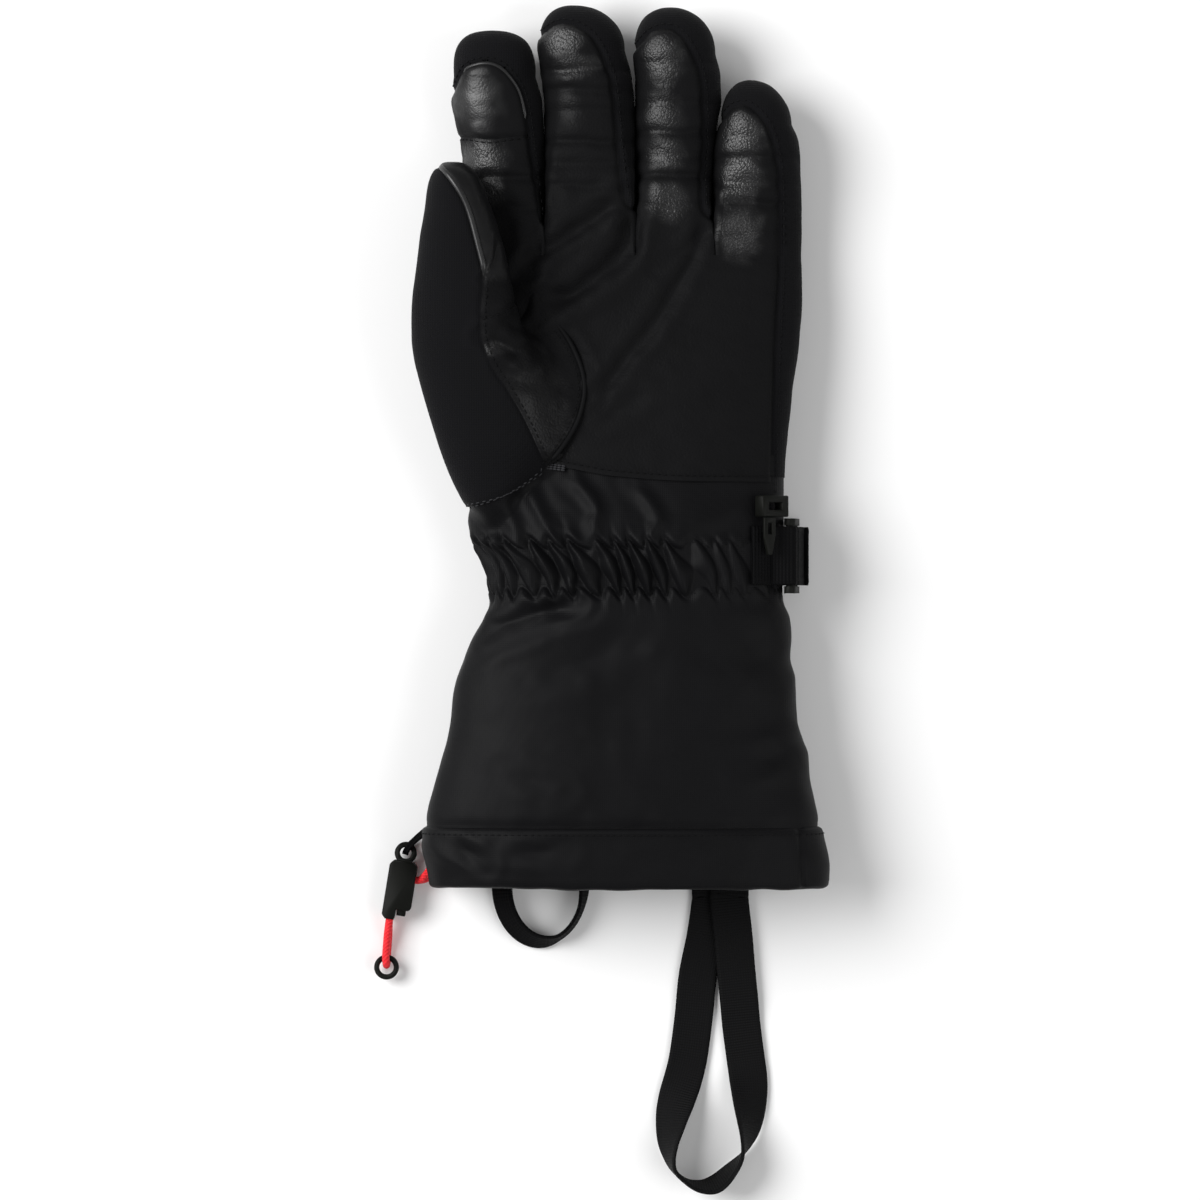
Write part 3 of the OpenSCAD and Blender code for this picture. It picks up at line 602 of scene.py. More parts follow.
@dataclass
class Bench:
    """Turns surfaces into pieces, fixes them to their bodies and hides the solids that they replace."""

    stuffs: Dict[Stuff, Material]
    weld: float = 2e-6
    flat_angle: float = 0.02
    edge_angle: float = 0.6
    sharp_angle: float = 0.7

    def mesh(self, name: str, skin: Skin, stuff: Stuff) -> Object:
        """A plain object from a surface, at the origin, in metres.

        Args:
            name: the piece's name.
            skin: its surface in mm.
            stuff: what it is made of.

        Returns:
            The object.
        """
        mesh = bpy.data.meshes.new(name)
        count = len(skin.tri)
        mesh.vertices.add(len(skin.co))
        mesh.vertices.foreach_set("co", (skin.co * MM).astype(np.float32).ravel())
        mesh.loops.add(count * 3)
        mesh.loops.foreach_set("vertex_index", skin.tri.astype(np.int32).ravel())
        mesh.polygons.add(count)
        mesh.polygons.foreach_set("loop_start", np.arange(0, count * 3, 3, dtype=np.int32))
        mesh.polygons.foreach_set("use_smooth", np.ones(count, bool))
        marks = {"rest_place": ("FLOAT_VECTOR", "vector", skin.co)}
        if stuff is Stuff.LEATHER:
            # The polish map drives the leather's coat: partly wear, partly a painted sheen on the pads and
            # piping
            shine = wear_and_painted_sheen(skin.co) if skin.polish_and_sheen is None else np.full(len(skin.co), skin.polish_and_sheen)
            raised = skin.grain * (0.4 + 0.6 * shine) * (1 - 0.9 * strip(skin.co))
            marks["polish_and_sheen"] = ("FLOAT", "value", shine)
            marks["grain"] = ("FLOAT", "value", raised)
        for label, (kind, key, values) in marks.items():
            mark = mesh.attributes.new(label, kind, "POINT")
            mark.data.foreach_set(key, values.astype(np.float32).ravel())
        if skin.uv is not None:
            layer = mesh.uv_layers.new(name="UVMap")
            layer.data.foreach_set("uv", skin.uv[skin.tri.ravel()].astype(np.float32).ravel())
        mesh.update(calc_edges=True)
        mesh.validate()
        mesh.normals_split_custom_set_from_vertices(skin.nor.tolist())
        mesh.materials.append(self.stuffs[stuff])
        return placed(name, mesh)

    def seat(self, obj: Object, stuff: Stuff, body: str, nodes: Sequence[str] = (),
             bend: Optional[Bend] = None) -> Object:
        """Fixes a piece to its body, or, where it crosses a joint, leaves it where it lies.

        Args:
            obj: the piece.
            stuff: its material slot; not used.
            body: the body that it rides on.
            nodes: the solids that it stands for.
            bend: the joint that it crosses; such a piece is not fixed to a body.

        Returns:
            The piece.
        """
        if bend is None:
            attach(obj, body)
        else:
            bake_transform(obj)
        if nodes:
            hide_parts(*nodes)
        log.info("%s on %s", obj.name, body)
        return obj

    def piece(self, name: str, skin: Skin, stuff: Stuff, body: str, nodes: Sequence[str] = (),
              bend: Optional[Bend] = None) -> Object:
        """Makes a surface a piece and seats it."""
        return self.seat(self.mesh(name, skin, stuff), stuff, body, nodes, bend)

    def moulded(self, node: str, stuff: Stuff, body: str, edge: float) -> Object:
        """A moulded piece: the node's own shape with its edges rounded.

        Args:
            node: the solid to start from.
            stuff: what it is made of.
            body: the body that it rides on.
            edge: radius of its edges in mm.

        Returns:
            The piece.
        """
        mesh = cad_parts[node].data.copy()
        made = bmesh.new()
        made.from_mesh(mesh)
        bmesh.ops.remove_doubles(made, verts=made.verts, dist=self.weld)
        bmesh.ops.dissolve_limit(made, angle_limit=self.flat_angle, verts=made.verts, edges=made.edges)
        made.to_mesh(mesh)
        made.free()
        obj = placed(node + "_moulded", mesh)
        bevel = obj.modifiers.new("edges", "BEVEL")
        bevel.width = edge * MM
        bevel.segments = 3
        bevel.limit_method = "ANGLE"
        bevel.angle_limit = self.edge_angle
        bevel.harden_normals = True
        bevel.use_clamp_overlap = True
        done = baked(obj)
        done.materials.clear()
        done.materials.append(self.stuffs[stuff])
        done.polygons.foreach_set("use_smooth", np.ones(len(done.polygons), bool))
        done.set_sharp_from_angle(angle=self.sharp_angle)
        return self.seat(obj, stuff, body, [node])


@dataclass(frozen=True)
class Crease:
    """A fold pressed into the palm side along a line in plan."""

    line: Line
    depth: float
    width: float
    rise: float = 0.4

    def __call__(self, skin: Skin) -> Array:
        """How far each point moves along its normal.

        Args:
            skin: the surface that is folded.

        Returns:
            One value for each point.
        """
        route = curve(self.line, LINE_STEPS)
        lo, hi = route.min(0) - 5 * self.width, route.max(0) + 5 * self.width
        near = np.all((skin.co[:, :2] > lo) & (skin.co[:, :2] < hi), axis=1) & (skin.nor[:, 2] > 0.05)
        out = np.zeros(len(skin.co))
        if not near.any():
            return out
        p = skin.co[near]
        gap, _ = to_line(p[:, :2], route)
        ends = np.minimum(np.hypot(*(p[:, :2] - route[0]).T), np.hypot(*(p[:, :2] - route[-1]).T))
        gap = np.maximum(gap + 0.35 * self.width * noise(p, (6, 6, 6), 5), 0)
        fade = smooth(ends / (4 * self.width))
        shape = -hump(gap, self.width) + self.rise * hump(gap - 2.3 * self.width, 1.1 * self.width)
        out[near] = self.depth * shape * fade * smooth(skin.nor[near, 2] * 2)
        return out


@dataclass
class Trunk:
    """The glove's main tube: cuff, wrist and hand as one run of sections."""

    left: Profile = Profile(
        (-110, -70.5), (-99, -72), (-91, -74), (-82, -72.5), (-75, -71), (-60, -68), (-45, -64.5),
        (-37, -63.5), (-30, -62), (-22, -59), (-15, -56), (-7, -51.5), (0, -49), (8, -49), (15, -51),
        (22, -55.5), (30, -57.5), (37, -56), (45, -50.5), (55, -46), (70, -45), (90, -48), (110, -55),
        (130, -60.5))
    right: Profile = Profile(
        (-110, 77), (-99, 78), (-91, 76.5), (-82, 74), (-67, 71), (-58, 70.5), (-52, 68.5), (-45, 66.5),
        (-37, 66), (-30, 66), (-22, 64), (-15, 64.5), (-7, 64), (0, 61.5), (10, 61), (20, 61), (30, 62),
        (45, 62), (60, 62.8), (72, 64.2), (80, 65.1), (100, 67.8), (112, 68.8), (130, 68.3))
    low: Profile = Profile(
        (-110, 0.2), (-85, 0.2), (-40, 1), (0, 3), (20, 3), (45, 0.8), (60, 0.2), (130, 0.2))
    thick: Profile = Profile(
        (-110, 49), (-85, 49.5), (-40, 46), (0, 41), (20, 41), (45, 38), (60, 37), (130, 31))
    square: Profile = Profile((-110, 2.4), (20, 2.4), (50, 2.8), (130, 2.8))
    fine: int = 1201

    def frame(self, y: Array) -> Tuple[Array, ...]:
        """Middle x and z, half width, half height and squareness at y.

        Args:
            y: places along the glove in mm.

        Returns:
            The five values.
        """
        left, right, thick = self.left(y), self.right(y), self.thick(y)
        return ((left + right) / 2, self.low(y) + thick * FLAT / (1 + FLAT), (right - left) / 2,
                thick / (1 + FLAT), self.square(y))

    def rings(self, ys: Array, cols: int, inset: Array = 0.0) -> Tuple[Array, Array]:
        """Sections at several y, each with points evenly round it from the right side over the palm.

        Args:
            ys: where the sections are.
            cols: points in each.
            inset: how far inside the surface each lies.

        Returns:
            The points, and each section's length round.
        """
        phi = np.linspace(0, 2 * np.pi, self.fine)
        inset = np.broadcast_to(inset, ys.shape)
        out, rounds = [], []
        for y, cut in zip(ys, inset):
            cx, cz, hw, hh, n = self.frame(y)
            c, s = np.cos(phi), np.sin(phi)
            x = cx + (hw - cut) * np.sign(c) * np.abs(c) ** (2 / n)
            z = cz + (hh - cut) * np.maximum(np.sign(s) * np.abs(s) ** (2 / n), -FLAT)
            length = np.concatenate([[0], np.cumsum(np.hypot(np.diff(x), np.diff(z)))])
            at = np.arange(cols) / cols * length[-1]
            out.append(np.stack([np.interp(at, length, x), np.full(cols, y), np.interp(at, length, z)], 1))
            rounds.append(length[-1])
        return np.array(out), np.array(rounds)

    def top(self, x: Array, y: Array) -> Array:
        """Height of the palm side."""
        cx, cz, hw, hh, n = self.frame(y)
        return cz + hh * np.maximum(1 - np.minimum(np.abs(x - cx) / hw, 1) ** n, 0) ** (1 / n)

    def bottom(self, x: Array, y: Array) -> Array:
        """Height of the back of the hand, which lies on the floor.

        Args:
            x: places across the glove in mm.
            y: places along it.

        Returns:
            One height for each place.
        """
        cx, cz, hw, hh, n = self.frame(y)
        round_it = np.maximum(1 - np.minimum(np.abs(x - cx) / hw, 1) ** n, 0) ** (1 / n)
        return cz - hh * np.minimum(round_it, FLAT)

    def level(self, x: Array, y: Array, z: Array) -> Array:
        """0 on the surface, negative inside."""
        cx, cz, hw, hh, n = self.frame(y)
        return ((np.abs(x - cx) / hw) ** n + (np.abs(z - cz) / hh) ** n) ** (1 / n) - 1


def srgb(code: str) -> Tuple[float, float, float, float]:
    """An sRGB hex colour as linear values.

    Args:
        code: the colour as # and six hex digits.

    Returns:
        Red, green, blue and alpha.
    """
    parts = [int(code[i:i + 2], 16) / 255 for i in (1, 3, 5)]
    linear = [p / 12.92 if p <= 0.04045 else ((p + 0.055) / 1.055) ** 2.4 for p in parts]
    return (*linear, 1.0)


def emptied(owner: Union[Material, bpy.types.World]) -> Tree:
    """The node tree of a material or a sky, with nothing in it.

    Args:
        owner: the material or sky.

    Returns:
        Its tree.
    """
    owner.use_nodes = True
    owner.node_tree.nodes.clear()
    return owner.node_tree


def add(tree: Tree, kind: str, inputs: Optional[dict] = None, **settings: object) -> Node:
    """Adds a node with its settings, values and links.

    Args:
        tree: the tree that gets it.
        kind: the node's type.
        inputs: by socket name or number, a value, another node's output, or a node for its first output.
        settings: the node's own settings.

    Returns:
        The node.
    """
    node = tree.nodes.new(kind)
    for name, value in settings.items():
        setattr(node, name, value)
    for name, value in (inputs or {}).items():
        source = value.outputs[0] if isinstance(value, Node) else value
        if isinstance(source, Socket):
            tree.links.new(source, node.inputs[name])
        else:
            node.inputs[name].default_value = source
    return node


@dataclass(frozen=True)
class Finish:
    """A surface finish: its colours, gloss and the size of its pattern in mm."""

    name: str
    dark: str
    light: str
    rough: Pair
    pattern_mm: float
    relief_mm: float
    sheen: float = 0.0
    sheen_rough: float = 0.45
    gloss: float = 0.15
    ior: float = 1.5
    coat: float = 0.0
    coat_rough: float = 0.3
    metallic: float = 0.0

    def place(self, tree: Tree) -> Socket:
        """Rest place of a cloth point in mm."""
        return add(tree, "ShaderNodeAttribute", attribute_name="rest_place").outputs["Vector"]

    def wave_scale(self) -> float:
        """Scale at which a wave texture repeats once in each pattern size."""
        return math.pi / (10 * self.pattern_mm)

    def pattern(self, tree: Tree) -> Tuple[Node, Node]:
        """Nodes for the surface's height, and for a slow variation of its colour from 0 to 1."""
        raise NotImplementedError

    def shine(self, tree: Tree) -> Union[float, Node]:
        """Weight of a polished layer on top."""
        return self.coat

    def make(self) -> Material:
        """Builds the material.

        Returns:
            The material.
        """
        made = bpy.data.materials.new(self.name)
        tree = emptied(made)
        height, tone = self.pattern(tree)
        colour = add(tree, "ShaderNodeMix", {0: tone, 6: srgb(self.dark), 7: srgb(self.light)},
                     data_type="RGBA").outputs[2]
        rough = add(tree, "ShaderNodeMapRange",
                    {"Value": tone, "To Min": self.rough[0], "To Max": self.rough[1]})
        bump = add(tree, "ShaderNodeBump",
                   {"Height": height, "Strength": 1.0, "Distance": self.relief_mm * MM})
        shader = add(tree, "ShaderNodeBsdfPrincipled", {
            "Base Color": colour, "Roughness": rough, "Normal": bump,
            "IOR": self.ior, "Specular IOR Level": self.gloss, "Metallic": self.metallic,
            "Sheen Weight": self.sheen, "Sheen Roughness": self.sheen_rough,
            "Coat Weight": self.shine(tree), "Coat Roughness": self.coat_rough, "Coat Normal": bump})
        add(tree, "ShaderNodeOutputMaterial", {"Surface": shader})
        return made


@dataclass(frozen=True)
class Grained(Finish):
    """Dyed leather: rounded pebbles over fine wrinkles, and a gloss where it is polished, partly by wear and
    partly as painted sheen.
    """

    def pattern(self, tree: Tree) -> Tuple[Node, Node]:
        """Pebbles over wrinkles some 4.5 mm long, and slow patches of gloss.

        Args:
            tree: the material's nodes.

        Returns:
            The height's node and the tone's.
        """
        place = self.place(tree)
        bent = add(tree, "ShaderNodeTexNoise",
                   {"Vector": place, "Scale": 0.8 / self.pattern_mm, "Detail": 2.0})
        moved = add(tree, "ShaderNodeVectorMath", {0: bent.outputs["Color"], 1: place}, operation="ADD")
        cells = add(tree, "ShaderNodeTexVoronoi", {"Vector": moved, "Scale": 1 / self.pattern_mm})
        wrinkles = add(tree, "ShaderNodeTexNoise", {"Vector": place, "Scale": 0.22, "Detail": 3.0,
                                                    "Roughness": 0.62, "Distortion": 0.6})
        far = add(tree, "ShaderNodeMath", {0: cells, 1: 2.0}, operation="POWER")
        dome = add(tree, "ShaderNodeMath", {0: far, 1: -2.2}, operation="MULTIPLY")
        raised = add(tree, "ShaderNodeAttribute", attribute_name="grain").outputs["Fac"]
        grain = add(tree, "ShaderNodeMath", {0: dome, 1: raised}, operation="MULTIPLY")
        height = add(tree, "ShaderNodeMath", {0: wrinkles, 1: 0.5, 2: grain}, operation="MULTIPLY_ADD")
        slow = add(tree, "ShaderNodeTexNoise", {"Vector": place, "Scale": 0.06, "Detail": 3.0})
        return height, slow

    def shine(self, tree: Tree) -> Union[float, Node]:
        """Coat weight where the leather is polished: partly wear, partly painted sheen."""
        rubbed_and_sheen = add(tree, "ShaderNodeAttribute", attribute_name="polish_and_sheen").outputs["Fac"]
        return add(tree, "ShaderNodeMath", {0: rubbed_and_sheen, 1: self.coat}, operation="MULTIPLY")


@dataclass(frozen=True)
class Woven(Finish):
    """Woven or knitted cloth: crossing threads, drawn as coarse as the render shows."""

    slub: float = 0.3

    def pattern(self, tree: Tree) -> Tuple[Node, Node]:
        """Crossing threads, and slow variation of the dye.

        Args:
            tree: the material's nodes.

        Returns:
            The height's node and the tone's.
        """
        place = self.place(tree)
        threads = {"Vector": place, "Scale": self.wave_scale(), "Distortion": 0.6, "Detail": 1.0,
                   "Detail Scale": 1.5}
        x, y, z = (add(tree, "ShaderNodeTexWave", threads, bands_direction=axis).outputs["Fac"]
                   for axis in ("X", "Y", "Z"))
        two = add(tree, "ShaderNodeMath", {0: x, 1: y}, operation="MULTIPLY")
        three = add(tree, "ShaderNodeMath", {0: z, 1: 0.4, 2: two}, operation="MULTIPLY_ADD")
        fuzz = add(tree, "ShaderNodeTexNoise",
                   {"Vector": place, "Scale": 1.6, "Detail": 4.0, "Roughness": 0.7})
        height = add(tree, "ShaderNodeMath", {0: fuzz, 1: self.slub * 2, 2: three}, operation="MULTIPLY_ADD")
        slow = add(tree, "ShaderNodeTexNoise", {"Vector": place, "Scale": 0.05, "Detail": 4.0})
        return height, slow


@dataclass(frozen=True)
class Ribbed(Finish):
    """Woven tape or braided cord: ribs that follow the piece's own map."""

    slant: float = 0.0

    def pattern(self, tree: Tree) -> Tuple[Node, Node]:
        """Ribs across the tape crossed by its warp, and slow variation.

        Args:
            tree: the material's nodes.

        Returns:
            The height's node and the tone's.
        """
        uv = add(tree, "ShaderNodeUVMap")
        scale = self.wave_scale()
        one, two = (add(tree, "ShaderNodeMapping", {"Vector": uv, "Rotation": (0, 0, turn)})
                    for turn in (self.slant, -self.slant))
        rib = add(tree, "ShaderNodeTexWave",
                  {"Vector": one, "Scale": scale, "Distortion": 0.3}).outputs["Fac"]
        warp = add(tree, "ShaderNodeTexWave", {"Vector": two, "Scale": scale * 1.1, "Distortion": 0.3},
                   bands_direction="X" if self.slant else "Y").outputs["Fac"]
        height = add(tree, "ShaderNodeMath", {0: warp, 1: 0.45, 2: rib}, operation="MULTIPLY_ADD")
        slow = add(tree, "ShaderNodeTexNoise", {"Vector": uv, "Scale": 0.4, "Detail": 3.0})
        tone = add(tree, "ShaderNodeMath", {0: rib, 1: 0.5, 2: slow}, operation="MULTIPLY_ADD",
                   use_clamp=True)
        return height, tone


@dataclass(frozen=True)
class Moulded(Finish):
    """Moulded plastic, drawn wire or twisted thread: a fine grit with faint rub marks."""

    def pattern(self, tree: Tree) -> Tuple[Node, Node]:
        """Fine grit, and slow variation.

        Args:
            tree: the material's nodes.

        Returns:
            The height's node and the tone's.
        """
        where = add(tree, "ShaderNodeTexCoord").outputs["Object"]
        grit = add(tree, "ShaderNodeTexNoise",
                   {"Vector": where, "Scale": 1 / (self.pattern_mm * MM), "Detail": 3.0})
        slow = add(tree, "ShaderNodeTexNoise",
                   {"Vector": where, "Scale": 180.0, "Detail": 4.0, "Roughness": 0.6})
        return grit, slow


FINISHES: Dict[Stuff, Finish] = {
    # Goat leather, drum-dyed and waxed: dull in the palm and polished on the pads, where the polish also lays
    # a painted sheen; 0.9 mm pebbles
    Stuff.LEATHER: Grained("goat_leather_waxed", "#0c0c0d", "#131314", (0.55, 0.7), 0.9, 0.1,
                           gloss=0.06, ior=1.48, coat=1.0, coat_rough=0.38),
    # Polyester softshell, a brushed stretch knit: no gloss; its 0.4 mm loops are drawn at 0.9 mm to show
    Stuff.SOFTSHELL: Woven("polyester_softshell_knit", "#08080a", "#0d0d0f", (0.85, 0.95), 0.9, 0.1,
                           sheen=0.02, gloss=0.12),
    # Polyester fleece, brushed: soft and dull
    Stuff.FLEECE: Woven("polyester_fleece_brushed", "#161618", "#232326", (0.9, 1.0), 1.6, 0.4,
                        sheen=0.3, slub=0.9),
    # Nylon, plain weave with a coated back: a soft sheen; its 0.35 mm threads are drawn at 0.8 mm to show
    Stuff.NYLON: Woven("nylon_plain_weave", "#070708", "#0c0c0e", (0.48, 0.6), 0.8, 0.05,
                       sheen=0.01, gloss=0.09),
    # Woven elastic tape: fine ribs of 1 mm, a little shine
    Stuff.ELASTIC: Ribbed("elastic_webbing_woven", "#080808", "#0d0d0e", (0.6, 0.75), 1.0, 0.12, gloss=0.1),
    # Nylon webbing: ribs of 1.3 mm across it, nearly dull
    Stuff.WEBBING: Ribbed("nylon_webbing_woven", "#050506", "#0b0b0c", (0.55, 0.7), 1.3, 0.18, gloss=0.05),
    # Elastic cord, polyester braided over rubber: bright red, with slanting strands of 1.1 mm
    Stuff.CORD: Ribbed("elastic_cord_braided", "#c40f18", "#f2323a", (0.5, 0.62), 1.1, 0.2,
                       sheen=0.1, slant=0.7),
    # Acetal, injection moulded with a satin spark texture: a dim even gloss
    Stuff.PLASTIC: Moulded("acetal_moulded_satin", "#0a0b09", "#11120f", (0.48, 0.6), 0.35, 0.02,
                           gloss=0.12, ior=1.48),
    # Spring steel, drawn and blackened: dark metal with a soft glint
    Stuff.STEEL: Moulded(
        "spring_steel_blackened", "#4a4a4d", "#6a6a6e", (0.28, 0.4), 0.3, 0.01, metallic=1.0),
}

THREADS: Dict[Thread, Finish] = {
    # Twisted polyester, as black as the shell, so that it hardly shows
    Thread.BLACK: Moulded(Thread.BLACK.value, "#0b0b0c", "#121213", (0.6, 0.7), 0.4, 0.02, gloss=0.08),
    # The same in dark grey, lighter partly as a painted glint on the stitches, which shows where the thumb is
    # tacked down
    Thread.GREY_PAINTED_GLINT: Moulded(Thread.GREY_PAINTED_GLINT.value, "#222224", "#303033", (0.5, 0.6), 0.4, 0.02, gloss=0.2),
}


@dataclass(frozen=True)
class Stitch:
    """One kind of stitch: from one to the next, its length and its thread, in mm."""

    pitch: float = 2.6
    length: float = 1.9
    thick: float = 0.55
    thread: Thread = Thread.BLACK


@dataclass
class Stitcher:
    """Sews rows of thread stitches along lines, by one node tree."""

    bench: Bench
    threads: Dict[Thread, Material]

    def __post_init__(self) -> None:
        """Builds the tree, once for all rows."""
        self.tree = self.row()

    def row(self) -> Tree:
        """The node tree that sets stitches along a line.

        Returns:
            The tree, with the stitch's sizes and its thread as named inputs.
        """
        tree = bpy.data.node_groups.new("stitch_row", "GeometryNodeTree")
        sockets = (("Geometry", "INPUT", "Geometry"), ("Pitch", "INPUT", "Float"),
                   ("Length", "INPUT", "Float"), ("Thickness", "INPUT", "Float"),
                   ("Thread", "INPUT", "Material"), ("Geometry", "OUTPUT", "Geometry"))
        for name, way, kind in sockets:
            tree.interface.new_socket(name, in_out=way, socket_type="NodeSocket" + kind)
        given = add(tree, "NodeGroupInput").outputs
        line = add(tree, "GeometryNodeMeshToCurve", {"Mesh": given["Geometry"]})
        even = add(tree, "GeometryNodeResampleCurve", {"Curve": line, "Length": given["Pitch"]},
                   mode="LENGTH")
        ball = add(tree, "GeometryNodeMeshUVSphere", {"Segments": 6, "Rings": 4, "Radius": 0.5})
        run = add(tree, "GeometryNodeInputTangent")
        out = add(tree, "GeometryNodeInputNamedAttribute", {"Name": "out"}, data_type="FLOAT_VECTOR")
        along = add(tree, "FunctionNodeAlignRotationToVector", {"Vector": run}, axis="X")
        up = add(tree, "FunctionNodeAlignRotationToVector", {"Rotation": along, "Vector": out},
                 axis="Z", pivot_axis="X")
        size = add(tree, "ShaderNodeCombineXYZ",
                   {"X": given["Length"], "Y": given["Thickness"], "Z": given["Thickness"]})
        many = add(tree, "GeometryNodeInstanceOnPoints",
                   {"Points": even, "Instance": ball, "Rotation": up, "Scale": size})
        real = add(tree, "GeometryNodeRealizeInstances", {"Geometry": many})
        soft = add(tree, "GeometryNodeSetShadeSmooth", {"Geometry": real})
        done = add(tree, "GeometryNodeSetMaterial", {"Geometry": soft, "Material": given["Thread"]})
        add(tree, "NodeGroupOutput", {"Geometry": done})
        return tree

    def sew(self, name: str, runs: Sequence[Array], body: str, bend: Optional[Bend] = None,
            stitch: Stitch = Stitch()) -> Optional[Object]:
        """Sews along runs of points with normals.

        Args:
            name: the piece's name.
            runs: each run's points and normals, six numbers a row, in mm.
            body: the body that the stitches ride on.
            bend: the joint that they cross; such stitches are not fixed to a body.
            stitch: the kind of stitch.

        Returns:
            The piece, or None where there is nothing to sew.
        """
        runs = [r for r in runs if len(r) > 2]
        if not runs:
            return None
        points = np.vstack(runs)
        starts = np.cumsum([0] + [len(r) for r in runs[:-1]])
        edges = [(int(s) + i, int(s) + i + 1) for s, r in zip(starts, runs) for i in range(len(r) - 1)]
        mesh = bpy.data.meshes.new(name)
        mesh.from_pydata((points[:, :3] * MM).tolist(), edges, [])
        out = mesh.attributes.new("out", "FLOAT_VECTOR", "POINT")
        out.data.foreach_set("vector", points[:, 3:].astype(np.float32).ravel())
        obj = placed(name, mesh)
        rows = obj.modifiers.new("stitches", "NODES")
        rows.node_group = self.tree
        sizes = {"Pitch": stitch.pitch * MM, "Length": stitch.length * MM, "Thickness": stitch.thick * MM,
                 "Thread": self.threads[stitch.thread]}
        for item in self.tree.interface.items_tree:
            if item.in_out == "INPUT" and item.name in sizes:
                rows[item.identifier] = sizes[item.name]
        baked(obj)
        return self.bench.seat(obj, Stuff.NYLON, body, (), bend)


@dataclass
class Assembly:
    """What the sub-assemblies of the glove are built with."""

    bench: Bench
    stitcher: Stitcher
    trunk: Trunk


def shifted(run: Array, aside: float, lift: float = 0.1) -> Array:
    """A run of points with normals, moved to its left along the surface.

    Args:
        run: points and normals, six numbers a row, in mm.
        aside: how far to the left.
        lift: how far off the surface.

    Returns:
        The moved run.
    """
    ahead = unit(np.gradient(run[:, :3], axis=0))
    over = unit(np.cross(run[:, 3:], ahead))
    return np.hstack([run[:, :3] + over * aside + run[:, 3:] * lift, run[:, 3:]])


def evened(run: Array, step: float = 1.5) -> Array:
    """A run with even, softly smoothed steps.

    Args:
        run: points and normals, six numbers a row, in mm.
        step: about how far apart its points come to be.

    Returns:
        The even run.
    """
    at = lengths(run[:, :3])
    n = max(4, int(at[-1] / step))
    even = np.stack([np.interp(np.linspace(0, at[-1], n), at, run[:, k]) for k in range(6)], 1)
    for _ in range(2):
        even[1:-1] = (even[:-2] + 2 * even[1:-1] + even[2:]) / 4
    even[:, 3:] = unit(even[:, 3:])
    return even


def piped(run: Array, d: float, lift: float = 0.3, polish_and_sheen: float = 0.0) -> Skin:
    """A piping cord along a run of points with normals, its ends tucked under.

    Args:
        run: points and normals, six numbers a row, in mm.
        d: the cord's thickness.
        lift: how far its middle stands above the run.
        polish_and_sheen: how far it is polished, partly by wear and partly as painted sheen.

    Returns:
        The cord's surface.
    """
    at = lengths(run[:, :3])
    rise = mix(-d, lift, smooth(np.minimum(at, at[-1] - at) / 5))
    cord = swept(run[:, :3] + run[:, 3:] * rise[:, None], run[:, 3:], round_outline(d, 10))
    cord.polish_and_sheen = polish_and_sheen
    cord.grain = 0.0
    return cord


